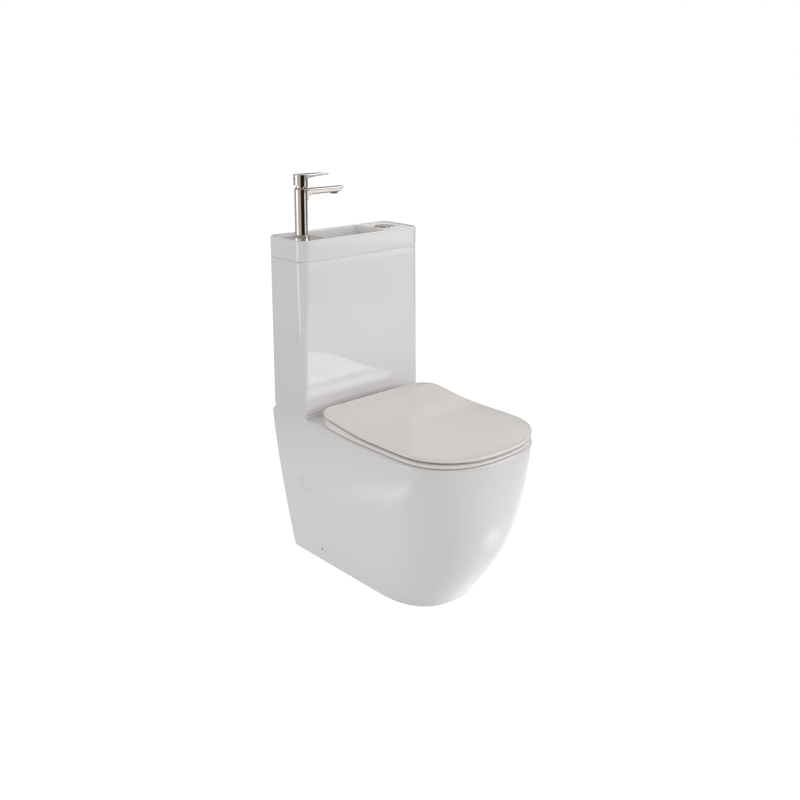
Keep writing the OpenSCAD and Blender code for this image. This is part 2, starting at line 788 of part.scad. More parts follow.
module hinge_plugs() {
    color("dimgray") both_sides() tube_z(plug_r, stud_r + run_clear / 2, plug_z[0], plug_z[1],
        hinge_spacing / 2, hinge_d);
}

module hinge_nuts() {
    color("white") both_sides() difference() {
        hex_z(plug_r - 0.3, plug_z[0] - 9, plug_z[0] - seat_clear, hinge_spacing / 2, hinge_d);
        rod_z(stud_r + pin_clear, plug_z[0] - 10, plug_z[0] + 1, hinge_spacing / 2, hinge_d);
    }
}

// ---- tap ----------------------------------------------------------------------------

tap_z = basin_deck + seat_clear;
column_top = spout_height + 0.5;
cartridge_r = 11.6;
neck_r = 10.8;
tilt_z = spout_height + 14;

// Things of the tap are drawn round its axis, with z from the deck
module on_tap() {
    at(-tap_x, mid_d, tap_z) children();
}

// Round rectangle across the spout or the lever, at distance x from the axis
section_points = 4;
function bar_section(x, w, low, high, r) = [
    for (q = [0:3])
        let (
            cy = (q < 2 ? 1 : -1) * (w / 2 - r),
            cz = q == 0 || q == 3 ? low + r : high - r)
        for (i = [0:section_points])
            let (a = 270 + 90 * q + 90 * i / section_points)
            [x, cy + r * cos(a), cz + r * sin(a)]
];

// Root of the spout as [distance, width, how far the fillet reaches down, corner radius]
spout_sections = [
    [0, 0.96, 14.5, 3.5], [12.5, 0.98, 12.5, 3.5], [14.5, 1, 7, 3.5], [17, 1, 3.5, 3.5],
    [21, 1, 1.1, 3.5], [27, 1, 0, 3.5]];

module spout() {
    reach = spout_reach;
    root = [for (s = spout_sections)
        bar_section(s[0], spout_width * s[1], spout_height - spout_depth - s[2], spout_height, s[3])];
    tip = [
        [reach - 18, 0.9, spout_depth, 3.5], [reach - 11, 0.88, spout_depth - 2, 3.2],
        [reach - 5, 0.86, spout_depth - 6.5, 2.4], [reach - 1, 0.83, spout_depth - 10, 1.4],
        [reach, 0.8, spout_depth - 11, 0.9]];
    end = [for (s = tip)
        bar_section(s[0], spout_width * s[1], spout_height - s[2], spout_height - 0.6, s[3])];
    loft(concat(root, end));
}

aerator_r = 8.8;
aerator_thread_r = 7.6;
waterway_z = spout_height - 7;

module tap_body() {
    color("silver") on_tap() difference() {
        union() {
            rotate_extrude() polygon([
                [0, 0], [flange_r, 0], [flange_r, 3.4], [flange_r - 1.4, 4.8], [column_r, 4.8],
                [column_r, column_top - 1], [column_r - 1, column_top], [0, column_top]]);
            spout();
        }
        translate([0, 0, column_top - 32]) cylinder(r = cartridge_r + pin_clear, h = 40);
        translate([0, 0, 28]) cylinder(r = 5, h = column_top - 50);
        translate([cartridge_r - 2, 0, waterway_z]) rotate([0, 90, 0])
            cylinder(r = 3.4, h = aerator_reach - cartridge_r + 2);
        translate([aerator_reach, 0, spout_height - spout_depth - 5])
            cylinder(r = aerator_thread_r + pin_clear, h = spout_depth + 1);
        translate([stud_offset, 0, -1]) cylinder(r = tap_stud_r + pin_clear, h = 16);
        translate([tail_offset, 0, -1]) cylinder(r = tail_r + pin_clear, h = 34);
    }
}

module tap_aerator() {
    under = spout_height - spout_depth;
    color("lightgray") on_tap() translate([aerator_reach, 0, 0]) difference() {
        union() {
            translate([0, 0, under - 3.6]) cylinder(r = aerator_r, h = 3.6 - seat_clear);
            translate([0, 0, under - 1]) cylinder(r = aerator_thread_r, h = 5);
        }
        translate([0, 0, under - 4]) cylinder(r = 6.4, h = 2.2);
        for (a = [0:60:300]) rotate([0, 0, a]) translate([3.8, 0, under - 5]) cylinder(r = 1.2, h = 12);
        translate([0, 0, under - 5]) cylinder(r = 1.2, h = 12);
    }
}

module tap_cartridge() {
    color("ivory") on_tap() difference() {
        union() {
            translate([0, 0, column_top - 32 + seat_clear]) cylinder(r = cartridge_r, h = 31);
            translate([0, 0, column_top - 2]) cylinder(r = 8.6, h = 8.5);
        }
        translate([4.5, 0, column_top - 40]) cylinder(r = 2, h = 20);
        translate([-4.5, 0, column_top - 40]) cylinder(r = 2, h = 20);
    }
}

module tap_collar() {
    color("silver") on_tap() difference() {
        union() {
            translate([0, 0, column_top + seat_clear])
                cylinder(r1 = column_r - 0.6, r2 = column_r - 2.2, h = 2);
            translate([0, 0, column_top + seat_clear]) cylinder(r = neck_r, h = 9.5);
        }
        translate([0, 0, column_top - 1]) cylinder(r = 8.8 + seat_clear, h = 20);
    }
}

rotor_z = column_top + 6.5 + run_clear;
stem_w = 7;

module tap_rotor() {
    color("lightgray") on_tap() {
        translate([0, 0, rotor_z]) cylinder(r = 8.2, h = tilt_z - rotor_z - 4);
        for (side = [-1, 1]) {
            difference() {
                translate([-3.5, side * (stem_w / 2 + run_clear + 1.2) - 1.2, rotor_z])
                    cube([7, 2.4, tilt_z + 3 - rotor_z]);
                translate([0, -10, tilt_z]) rotate([-90, 0, 0]) cylinder(r = 1.5 + pin_clear, h = 20);
            }
        }
    }
}

module tap_pivot_pin() {
    reach = stem_w / 2 + run_clear + 2.4;
    color("silver") on_tap() translate([0, -reach, tilt_z]) rotate([-90, 0, 0])
        cylinder(r = 1.5, h = 2 * reach);
}

socket_top = handle_height - 6;
stem_top = socket_top - run_clear;

module tap_stem() {
    color("gold") on_tap() difference() {
        union() {
            translate([-stem_w / 2, -stem_w / 2, tilt_z]) cube([stem_w, stem_w, stem_top - tilt_z]);
            translate([0, -stem_w / 2, tilt_z]) rotate([-90, 0, 0]) cylinder(r = stem_w / 2, h = stem_w);
        }
        translate([0, -10, tilt_z]) rotate([-90, 0, 0]) cylinder(r = 1.5 + pin_clear, h = 20);
    }
}

head_low = spout_height + 2;
head_slant = 7.5;
hollow_r = head_r - 2;
hollow_top = tilt_z + 5.5;

// Lever as [distance, width, underside from the handle's top, top below it, corner]
lever_sections = [[0, 0.97, 9, 0, 3], [14, 0.95, 9, 0, 3], [17, 0.93, 8.2, 0, 3], [24, 0.88, 7.4, 0, 3],
    [34, 0.82, 6.6, 0, 2.6], [54, 0.72, 5.6, 0.2, 2.2]];

module lever() {
    body = [for (s = lever_sections)
        bar_section(s[0], 2 * head_r * s[1], handle_height - s[2], handle_height - s[3], s[4])];
    tip = [[14, 0.68, 4.9, 0.7, 1.8], [6, 0.62, 4.5, 1.5, 1.3], [1.5, 0.52, 4.2, 2.3, 0.8],
        [0, 0.44, 3.9, 2.8, 0.4]];
    end = [for (s = tip) bar_section(
        lever_reach - s[0], 2 * head_r * s[1], handle_height - s[2], handle_height - s[3], s[4])];
    loft(concat(body, end));
}

module tap_handle() {
    color("silver") on_tap() difference() {
        union() {
            translate([0, 0, head_low]) cylinder(r = head_r, h = handle_height - head_low - 1);
            translate([0, 0, handle_height - 1]) cylinder(r1 = head_r, r2 = head_r - 1, h = 1);
            lever();
        }
        translate([0, 0, head_low - 1]) cylinder(r = hollow_r, h = hollow_top - head_low + 1);
        translate([-stem_w / 2 - pin_clear, -stem_w / 2 - pin_clear, hollow_top - 1])
            cube([stem_w + 2 * pin_clear, stem_w + 2 * pin_clear, socket_top - hollow_top + 1]);
        translate([-head_r - 1, 0, socket_top - 4]) rotate([0, 90, 0])
            cylinder(r = 2 + pin_clear, h = head_r);
        // the foot of the head slants up to the back, which lets it tilt
        translate([head_r, 0, head_low]) rotate([0, atan(head_slant / (2 * head_r)), 0])
            translate([-3 * head_r, -30, -20]) cube([3 * head_r + 5, 60, 20]);
    }
}

module tap_grub_screw() {
    color("dimgray") on_tap() difference() {
        translate([-head_r + 2, 0, socket_top - 4]) rotate([0, 90, 0])
            cylinder(r = 2, h = head_r - 2 - stem_w / 2 - seat_clear);
        translate([-head_r + 1, 0, socket_top - 4]) rotate([0, 90, 0]) cylinder(r = 1.1, h = 3, $fn = 6);
    }
}

stud_offset = -8;
tail_offset = 6;
tap_stud_r = 4;
tail_r = 5;
under_tap = -seat_clear - deck_thickness;

module tap_stud() {
    color("silver") on_tap() translate([stud_offset, 0, under_tap - 26])
        cylinder(r = tap_stud_r, h = 26 - under_tap + 14);
}

module tap_clamp() {
    color("silver") on_tap() difference() {
        translate([0, 0, under_tap - 5]) cylinder(r = flange_r + 1, h = 5 - seat_clear);
        translate([stud_offset, 0, under_tap - 6]) cylinder(r = tap_stud_r + run_clear, h = 8);
        translate([tail_offset, 0, under_tap - 6]) cylinder(r = tail_r + 2, h = 8);
        translate([tail_offset, -tail_r - 2, under_tap - 6]) cube([30, 2 * tail_r + 4, 8]);
    }
}

module tap_nut() {
    color("gold") on_tap() difference() {
        translate([stud_offset, 0, under_tap - 12]) cylinder(r = 7, h = 7 - seat_clear, $fn = 6);
        translate([stud_offset, 0, under_tap - 13]) cylinder(r = tap_stud_r + pin_clear, h = 10);
    }
}

module tap_tail() {
    color("silver") on_tap() difference() {
        union() {
            translate([tail_offset, 0, under_tap - 24]) cylinder(r = tail_r, h = 24 - under_tap + 32);
            translate([tail_offset, 0, under_tap - 40]) cylinder(r = tail_r + 1.6, h = 16, $fn = 6);
        }
        translate([tail_offset, 0, under_tap - 41]) cylinder(r = 2.6, h = 100);
    }
}

// ---- flush button -------------------------------------------------------------------

bezel_r = bezel_d / 2;
housing_low = basin_deck - 33;
housing_floor = 2.5;
housing_in = housing_r - 1.6;
button_r = housing_in - run_clear;
button_top = basin_deck + 3.2;
button_low = basin_deck - 4;
split = 2;
rod_r = 3;
rod_foot = pivot_z + pad_r + run_clear;

module button_bezel() {
    color("silver") at(button_x, mid_d, 0) difference() {
        union() {
            translate([0, 0, basin_deck + seat_clear]) rotate_extrude() polygon([
                [0, 0], [bezel_r, 0], [bezel_r, 1.4], [bezel_r - 1.2, 2.6], [0, 2.6]]);
            translate([0, 0, housing_low]) cylinder(r = housing_r, h = basin_deck + 1 - housing_low);
        }
        translate([0, 0, housing_low + housing_floor]) cylinder(r = housing_in, h = 60);
        for (side = [-1, 1]) translate([0, -side * rod_offset, housing_low - 1])
            cylinder(r = rod_r + run_clear, h = 10);
    }
}

module button_nut() {
    color("white") difference() {
        rod_z(bezel_r + 5, deck_under - 6, deck_under - seat_clear, button_x, mid_d);
        rod_z(housing_r + pin_clear, deck_under - 7, deck_under + 1, button_x, mid_d);
        for (a = [0:30:330]) {
            rod_z(1.6, deck_under - 7, deck_under + 1,
                button_x + (bezel_r + 5.4) * cos(a), mid_d + (bezel_r + 5.4) * sin(a));
        }
    }
}

// One part of the round button: side 1 is the front part, side -1 the rear part
module button_part(side) {
    edge = mid_d - split + side * run_clear / 2;
    color("silver") difference() {
        at(button_x, mid_d, button_low) rotate_extrude() polygon([
            [0, 0], [button_r, 0], [button_r, button_top - button_low - 1],
            [button_r - 1, button_top - button_low - 0.2], [0, button_top - button_low]]);
        block(button_x - bezel_d, button_x + bezel_d, edge - (side > 0 ? bezel_d : 0),
            edge + (side > 0 ? 0 : bezel_d), button_low - 1, button_top + 1);
        rod_z(rod_r + pin_clear, button_low - 1, button_low + 3, button_x, mid_d + side * rod_offset);
    }
}

module button_full() {
    button_part(1);
}

module button_half() {
    button_part(-1);
}

module rod(side) {
    color("white") {
        rod_z(rod_r, rod_foot + 3, button_low + 3 - seat_clear, button_x, mid_d + side * rod_offset);
        rod_z(rod_r + 1.6, rod_foot, rod_foot + 3, button_x, mid_d + side * rod_offset);
    }
}

module rod_full() {
    rod(1);
}

module rod_half() {
    rod(-1);
}

// Coil spring round an upright axis
module coil(r, wire_r, turns, length) {
    steps = 8;
    sides = 6;
    rise = (length - 2 * wire_r) / (turns * steps);
    lean = atan(rise * steps / (2 * PI * r));
    loft([for (k = [0:turns * steps])
        let (a = 360 * k / steps)
        [for (i = [0:sides - 1]) let (b = -360 * i / sides)
            [
                (r + wire_r * cos(b)) * cos(a) + wire_r * sin(b) * sin(lean) * sin(a),
                (r + wire_r * cos(b)) * sin(a) - wire_r * sin(b) * sin(lean) * cos(a),
                wire_r + rise * k + wire_r * sin(b) * cos(lean)
            ]]]);
}

spring_z = [housing_low + housing_floor + seat_clear, button_low - seat_clear];

module button_spring(side) {
    color("silver") at(button_x, mid_d + side * rod_offset, spring_z[0])
        coil(rod_r + 1.6, 0.6, 5, spring_z[1] - spring_z[0]);
}

module spring_full() {
    button_spring(1);
}

module spring_half() {
    button_spring(-1);
}

// ---- flush valve --------------------------------------------------------------------

shank_r = cage_r - 2;
valve_bore_r = 26;
flange_z = tank_floor + 2 + 2 * seat_clear;
cage_wall = 4;
cage_top = tank_floor + cage_height;
shank_z = shelf_recess_z + 4;
lug_z = pivot_z + pad_r + run_clear;
stem_x = pad_r + rod_r + 1.5;

module valve_cage() {
    color("white") difference() {
        union() {
            rod_z(shank_r, shank_z, flange_z + 1, 0, mid_d);
            rod_z(cage_r + 8, flange_z, flange_z + 4, 0, mid_d);
            rod_z(cage_r + cage_wall, flange_z, cage_top, 0, mid_d);
        }
        rod_z(valve_bore_r, shank_z - 1, flange_z + 10, 0, mid_d);
        rod_z(cage_r, flange_z + 7, cage_top - 7, 0, mid_d);
        rod_z(tube_r + run_clear, cage_top - 8, cage_top + 1, 0, mid_d);
        rod_z(rod_r + run_clear, cage_top - 8, cage_top + 1, -stem_x, mid_d - rocker_offset);
        for (a = [45, 135, 225, 315]) {
            at(0, mid_d, 0) rotate([0, 0, a]) translate([cage_r - 6, -13, flange_z + 12])
                cube([20, 26, cage_height - 60]);
        }
    }
}

module valve_washer() {
    color("dimgray") tube_z(cage_r + 7, shank_r + run_clear, tank_floor + seat_clear,
        flange_z - seat_clear, 0, mid_d);
}

module valve_nut() {
    color("white") difference() {
        rod_z(43, cistern_z - 12, cistern_z - seat_clear, 0, mid_d);
        rod_z(shank_r + pin_clear, cistern_z - 13, cistern_z + 1, 0, mid_d);
        for (a = [0:45:315]) {
            rod_z(4, cistern_z - 13, cistern_z + 1, 45 * cos(a), mid_d + 45 * sin(a));
        }
    }
}

module coupling_gasket() {
    color("dimgray") tube_z(46, shank_r + run_clear, shelf_recess_z + seat_clear,
        cistern_z - 12 - seat_clear, 0, mid_d);
}

seal_z = flange_z + 7 + seat_clear;

module overflow_tube() {
    color("white") difference() {
        union() {
            rod_z(tube_r, flange_z - 4, tank_floor + tube_height, 0, mid_d);
            rod_z(valve_bore_r + 4, seal_z + 3, seal_z + 7, 0, mid_d);
            block(-6, 6, mid_d, mid_d + rocker_offset + 4, lug_z, lug_z + 5);
        }
        rod_z(tube_r - 2, flange_z - 5, tank_floor + tube_height + 1, 0, mid_d);
    }
}

module valve_seal() {
    color("firebrick") tube_z(valve_bore_r + 4, tube_r + pin_clear,
        seal_z, seal_z + 3 - seat_clear, 0, mid_d);
}

float_z = tank_floor + 80;

module half_flush_float() {
    color("lightblue") {
        tube_z(cage_r - 2, tube_r + run_clear, float_z, float_z + 34, 0, mid_d);
        rod_z(rod_r, float_z + 30, lug_z + 1, -stem_x, mid_d - rocker_offset);
        block(-stem_x - 4, pad_r + 1, mid_d - rocker_offset - 4, mid_d - rocker_offset + 4,
            lug_z, lug_z + 5);
    }
}

rocker_w = 8;
post_half_d = rocker_offset - rocker_w / 2 - run_clear;
rocker_pin_r = 2.5;

module rocker_bracket() {
    ring_z = cage_top - 22;
    color("lightgray") difference() {
        union() {
            rod_z(cage_r + cage_wall + 4, ring_z, ring_z + 12, 0, mid_d);
            block(cage_r, pivot_x + 7, mid_d - post_half_d, mid_d + post_half_d, ring_z, ring_z + 12);
            round_block(pivot_x - 7, pivot_x + 7, mid_d - post_half_d, mid_d + post_half_d,
                ring_z, pivot_z, 3);
            rod_y(7, mid_d - post_half_d, mid_d + post_half_d, pivot_x, pivot_z);
        }
        rod_z(cage_r + cage_wall + seat_clear, ring_z - 1, ring_z + 13, 0, mid_d);
        rod_y(rocker_pin_r + pin_clear, 0, cistern_depth, pivot_x, pivot_z);
    }
}

module rocker_pin() {
    reach = rocker_offset + rocker_w / 2 + run_clear;
    color("silver") {
        rod_y(rocker_pin_r, mid_d - reach, mid_d + reach, pivot_x, pivot_z);
        rod_y(4.2, mid_d - reach - 1.5, mid_d - reach, pivot_x, pivot_z);
        rod_y(4.2, mid_d + reach, mid_d + reach + 1.5, pivot_x, pivot_z);
    }
}

// Rocker between a push rod and the piece that it lifts
module rocker(side) {
    near = mid_d + side * rocker_offset - rocker_w / 2;
    far = near + rocker_w;
    inner = mid_d + side * (rod_offset - 4);
    color("white") difference() {
        union() {
            rod_y(7, near, far, pivot_x, pivot_z);
            at(0, far, pivot_z) rotate([-90, 0, 0]) linear_extrude(height = rocker_w) polygon([
                [0, -3], [pivot_x, -5.5], [button_x, -3], [button_x, 3], [pivot_x, 5.5], [0, 3]]);
            rod_y(pad_r, near, far, 0, pivot_z);
            rod_y(pad_r, min(near, inner), max(far, inner), button_x, pivot_z);
        }
        rod_y(rocker_pin_r + pin_clear, 0, cistern_depth, pivot_x, pivot_z);
    }
}

module rocker_full() {
    rocker(1);
}

module rocker_half() {
    rocker(-1);
}

// ---- fill valve ---------------------------------------------------------------------

riser_r = 11;
shank_step = 0.5;
inlet_shank_r = inlet_r + shank_step;
thread_end = cistern_z - 11.4;
riser_top = tank_floor + 212;
head_top = riser_top + 36;
lever_z = head_top + 14;
float_top = riser_top - float_travel - 2;
float_pad_r = 3;

module fill_valve() {
    color("white") difference() {
        union() {
            rod_z(inlet_r, shelf_z - 39, thread_end + 1, -fill_x, mid_d);
            rod_z(inlet_shank_r, thread_end, tank_floor + 1, -fill_x, mid_d);
            rod_z(inlet_r + 6.6, tank_floor + seat_clear, tank_floor + 4, -fill_x, mid_d);
            rod_z(riser_r, tank_floor + 3, riser_top + 1, -fill_x, mid_d);
            rod_z(17, riser_top, head_top, -fill_x, mid_d);
            for (side = [-1, 1]) {
                block(-fill_x - 5, -fill_x + 5, mid_d + side * 5 - 1.5, mid_d + side * 5 + 1.5,
                    head_top - 1, lever_z + 4);
            }
            rod_y(1.8, mid_d - 6.5, mid_d + 6.5, -fill_x, lever_z);
        }
        rod_z(inlet_r - 3, shelf_z - 40, riser_top + 10, -fill_x, mid_d);
        rod_x(3, -fill_x - 40, -fill_x, mid_d, riser_top + 18);
    }
}

module fill_valve_nut() {
    color("white") difference() {
        hex_z(2 * inlet_r - 4.5, cistern_z - 11, cistern_z - seat_clear, -fill_x, mid_d);
        rod_z(inlet_shank_r + pin_clear, cistern_z - 12, cistern_z + 1, -fill_x, mid_d);
    }
}

float_rod_x = -fill_x + float_lever;

module float_cup() {
    color("lightblue") difference() {
        union() {
            rod_z(float_r, float_top - 58, float_top, -fill_x, mid_d);
            block(-fill_x + float_r - 4, float_rod_x + 3, mid_d - 4, mid_d + 4, float_top - 6, float_top);
            rod_z(2.2, float_top - 1, lever_z - float_pad_r - run_clear, float_rod_x, mid_d);
        }
        rod_z(riser_r + run_clear, float_top - 60, float_top + 1, -fill_x, mid_d);
        tube_z(float_r - 2, riser_r + 3, float_top - 60, float_top - 3, -fill_x, mid_d);
    }
}

module float_arm() {
    color("lightgray") difference() {
        union() {
            rod_y(4, mid_d - 3, mid_d + 3, -fill_x, lever_z);
            block(-fill_x, float_rod_x, mid_d - 3, mid_d + 3, lever_z - 1.5, lever_z + 1.5);
            rod_y(float_pad_r, mid_d - 3, mid_d + 3, float_rod_x, lever_z);
        }
        rod_y(1.8 + pin_clear, mid_d - 10, mid_d + 10, -fill_x, lever_z);
    }
}

// ---- fixings ------------------------------------------------------------------------

coupling_r = 4;
wing_z = ceiling_z - 12;

module coupling_bolts() {
    color("gold") both_sides() {
        rod_z(coupling_r, wing_z - 8, tank_floor + 6, coupling_x, mid_d);
        hex_z(7.5, tank_floor + 4 + seat_clear, tank_floor + 10, coupling_x, mid_d);
    }
}

module coupling_washers() {
    color("dimgray") both_sides() tube_z(12, coupling_r + pin_clear, tank_floor + seat_clear,
        tank_floor + 4, coupling_x, mid_d);
}

module coupling_wing_nuts() {
    color("gold") both_sides() difference() {
        union() {
            rod_z(12, wing_z + 8, ceiling_z - seat_clear, coupling_x, mid_d);
            rod_z(7, wing_z, wing_z + 9, coupling_x, mid_d);
            block(coupling_x - 17, coupling_x + 17, mid_d - 1.5, mid_d + 1.5, wing_z, wing_z + 8);
        }
        rod_z(coupling_r + pin_clear, wing_z - 1, ceiling_z + 1, coupling_x, mid_d);
    }
}

module side_covers() {
    color("white") both_sides() on_side(cover_d, cover_z) rotate([0, 90, 0]) {
        translate([0, 0, -cover_thickness]) cylinder(r = cover_r, h = cover_thickness);
        translate([0, 0, -14]) difference() {
            cylinder(r = cover_stem_r, h = 14 - cover_thickness + 0.5);
            translate([0, 0, -1]) cylinder(r = cover_stem_r - 2, h = 12);
        }
    }
}

bracket_x1 = pan_half_w(0) - skirt_wall - 0.3;

module floor_brackets() {
    x0 = bracket_x1 - 26;
    color("lightgray") both_sides() difference() {
        union() {
            block(x0, bracket_x1, fixing_d - 20, fixing_d + 20, 0, 8);
            block(bracket_x1 - 9, bracket_x1, fixing_d - 20, fixing_d + 20, 0, fixing_z + 12);
        }
        rod_z(3.5, -1, 9, x0 + 9, fixing_d);
        rod_x(2 + pin_clear, 0, 200, fixing_d, fixing_z);
    }
}

module side_screws() {
    head_x = pan_half_w(fixing_z) - 9;
    color("silver") both_sides() {
        rod_x(2, bracket_x1 - 16, head_x + 1, fixing_d, fixing_z);
        difference() {
            rod_x(fixing_r - 0.3, head_x, head_x + 3, fixing_d, fixing_z);
            rod_x(1.2, head_x + 1.5, head_x + 4, fixing_d, fixing_z);
        }
    }
}

pan();
cistern();
basin();
lid();
seat();
lid_buffers();
seat_buffers();
hinge_post_left();
hinge_post_right();
hinge_pins();
lid_damper();
seat_damper();
hinge_studs();
hinge_plugs();
hinge_nuts();
tap_body();
tap_aerator();
tap_cartridge();
tap_collar();
tap_rotor();
tap_pivot_pin();
tap_stem();
tap_handle();
tap_grub_screw();
tap_stud();
tap_clamp();
tap_nut();
tap_tail();
basin_waste();
waste_gasket();
waste_nut();
button_bezel();
button_nut();
button_full();
button_half();
rod_full();
rod_half();
spring_full();
spring_half();
valve_cage();
valve_washer();
valve_nut();
coupling_gasket();
overflow_tube();
valve_seal();
half_flush_float();
rocker_bracket();
rocker_pin();
rocker_full();
rocker_half();
fill_valve();
fill_valve_nut();
float_cup();
float_arm();
coupling_bolts();
coupling_washers();
coupling_wing_nuts();
side_covers();
floor_brackets();
side_screws();
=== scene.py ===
import bpy, bmesh, json, math
from mathutils import Matrix, Vector


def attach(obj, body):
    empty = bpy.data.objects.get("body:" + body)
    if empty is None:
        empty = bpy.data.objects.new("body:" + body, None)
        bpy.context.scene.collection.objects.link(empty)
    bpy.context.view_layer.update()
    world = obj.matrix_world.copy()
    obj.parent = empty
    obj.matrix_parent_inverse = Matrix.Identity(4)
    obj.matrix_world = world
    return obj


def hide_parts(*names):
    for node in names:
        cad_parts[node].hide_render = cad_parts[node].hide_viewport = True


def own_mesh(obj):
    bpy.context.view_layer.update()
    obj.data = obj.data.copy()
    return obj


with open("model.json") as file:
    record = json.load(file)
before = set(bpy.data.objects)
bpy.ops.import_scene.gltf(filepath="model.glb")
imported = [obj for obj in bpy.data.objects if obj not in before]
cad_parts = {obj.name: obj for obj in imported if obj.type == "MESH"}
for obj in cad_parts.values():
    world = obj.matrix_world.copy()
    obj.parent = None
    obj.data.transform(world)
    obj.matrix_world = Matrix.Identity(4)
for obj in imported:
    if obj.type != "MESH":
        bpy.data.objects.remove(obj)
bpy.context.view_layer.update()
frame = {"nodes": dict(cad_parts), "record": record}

# Toilet with a hand basin on its cistern. Lengths are in millimetres until a mesh is made.
# Points are written as x, d (distance in front of the wall) and z.
wallY = 298
cosd = lambda a: math.cos(math.radians(a))
sind = lambda a: math.sin(math.radians(a))
fwd = lambda d: wallY - d
# the cistern's middle
middleD = 66.5


view = {
    "place": (-1.451, -1.4984, 1.172),
    "turn": (73.671, -0.107, -41.752),
    "lens": 42.156, "sensor": 36,
    "shift": (0.032, -0.0573),
}
cam = bpy.data.objects.new("photoCamera", bpy.data.cameras.new("photoCamera"))
bpy.context.collection.objects.link(cam)
cam.location = view["place"]
cam.rotation_euler = [math.radians(a) for a in view["turn"]]
cam.data.lens = view["lens"]
cam.data.sensor_width = view["sensor"]
cam.data.shift_x, cam.data.shift_y = view["shift"]
bpy.context.scene.camera = cam
print("camera placed")


# curves and rings, seen from above
def smooth(t):
    u = max(0.0, min(1.0, t))
    return u * u * (3 - 2 * u)


def mix(a, b, t):
    return a + (b - a) * t


def spread(a, b, n):
    return [mix(a, b, i / n) for i in range(n + 1)]


capSteps, sideSteps, cornerSteps = 40, 26, 7
backSteps = sideSteps + cornerSteps + 1


def dHalf(w, front, cap, power, back, corner):
    # right half of a D: superelliptic nose, straight side, round corner
    pts = [(w * sind(a) ** (2 / power), front - cap + cap * max(0, cosd(a)) ** (2 / power))
           for a in spread(0, 90, capSteps)]
    pts += [(w, mix(front - cap, back + corner, i / sideSteps)) for i in range(1, sideSteps + 1)]
    pts += [(w - corner * (1 - cosd(a)), back + corner * (1 - sind(a)))
            for a in spread(0, 90, cornerSteps)[1:]]
    return pts + [(0, back)]


def ovalHalf(w, front, back, middle, power):
    pts = [(w * sind(a) ** (2 / power), middle + (front - middle) * max(0, cosd(a)) ** (2 / power))
           for a in spread(0, 90, capSteps)]
    pts += [(w * max(0, cosd(a)) ** (2 / power), middle - (middle - back) * sind(a) ** (2 / power))
            for a in spread(0, 90, backSteps)[1:]]
    return pts


def ring(half, height):
    left = [(-x, d) for x, d in half[-2:0:-1]]
    return [(x, fwd(d), height(d) if callable(height) else height) for x, d in half + left]


def quarter(first, n):
    # how far a rounding goes in and down, as shares of its radius
    return [(1 - cosd(a), 1 - sind(a)) for a in spread(first, 90, n)]


def blendHalf(a, b, t):
    return [(mix(p[0], q[0], t), mix(p[1], q[1], t)) for p, q in zip(a, b)]


def boxRing(x0, x1, d0, d1, frontR, backR, z, steps, sides=10):
    # round rectangle, seen from above, starting at its front left corner
    arcs, pts = [], []
    for q in range(4):
        r = frontR if q < 2 else backR
        x = x1 - r if q in (1, 2) else x0 + r
        y = fwd(d1 - r if q < 2 else d0 + r)
        turns = [180 + 90 * q + 90 * i / steps for i in range(steps + 1)]
        arcs.append([(x + r * cosd(a), y + r * sind(a), z) for a in turns])
    for arc, after in zip(arcs, arcs[1:] + arcs[:1]):
        (xa, ya, _), (xb, yb, _) = arc[-1], after[0]
        pts += arc + [(mix(xa, xb, i / sides), mix(ya, yb, i / sides), z) for i in range(1, sides)]
    return pts


def circle(r, z, steps):
    return [(r * cosd(360 * i / steps), r * sind(360 * i / steps), z) for i in range(steps)]


# faces of a block that is given by its 8 corners
blockFaces = [(0, 1, 2, 3), (7, 6, 5, 4), (0, 4, 5, 1), (1, 5, 6, 2), (2, 6, 7, 3), (3, 7, 4, 0)]


# meshes from rings of points
def newMesh(name, points, faces, place=None):
    m = place or Matrix.Identity(4)
    mesh = bpy.data.meshes.new(name)
    mesh.from_pydata([(m @ Vector(p)) * 0.001 for p in points], [], faces)
    bm = bmesh.new()
    bm.from_mesh(mesh)
    bmesh.ops.recalc_face_normals(bm, faces=bm.faces)
    bm.to_mesh(mesh)
    bm.free()
    piece = bpy.data.objects.new(name, mesh)
    bpy.context.collection.objects.link(piece)
    return piece


def loft(name, rings, place=None, closed=False):
    n, count = len(rings[0]), len(rings)
    faces = []
    for k in range(count if closed else count - 1):
        a, b = k * n, ((k + 1) % count) * n
        faces += [(a + i, a + (i + 1) % n, b + (i + 1) % n, b + i) for i in range(n)]
    if not closed:
        faces += [tuple(range(n)), tuple((count - 1) * n + i for i in range(n))[::-1]]
    return newMesh(name, [p for r in rings for p in r], faces, place)


# in place of a radius of 0, which would close an end to a point
tinyR = 0.02


def turned(name, profile, place, steps=64):
    # profile is (radius, height)
    return loft(name, [circle(max(r, tinyR), z, steps) for r, z in profile], place)


def rodZ(r, z0, z1, x, d, steps=48):
    return turned("cutter", [(r, z0), (r, z1)], Matrix.Translation((x, fwd(d), 0)), steps)


def rodX(r, x0, x1, d, z, steps=48):
    place = Matrix.Translation((0, fwd(d), z)) @ Matrix.Rotation(math.radians(90), 4, "Y")
    return turned("cutter", [(r, x0), (r, x1)], place, steps)


def rodY(r, d0, d1, z):
    place = Matrix.Translation((0, 0, z)) @ Matrix.Rotation(math.radians(90), 4, "X")
    return turned("cutter", [(r, -fwd(d0)), (r, -fwd(d1))], place, 96)


def roundBlock(x0, x1, d0, d1, z0, z1, r):
    return loft("cutter", [boxRing(x0, x1, d0, d1, r, r, z, 8, 4) for z in (z0, z1)])


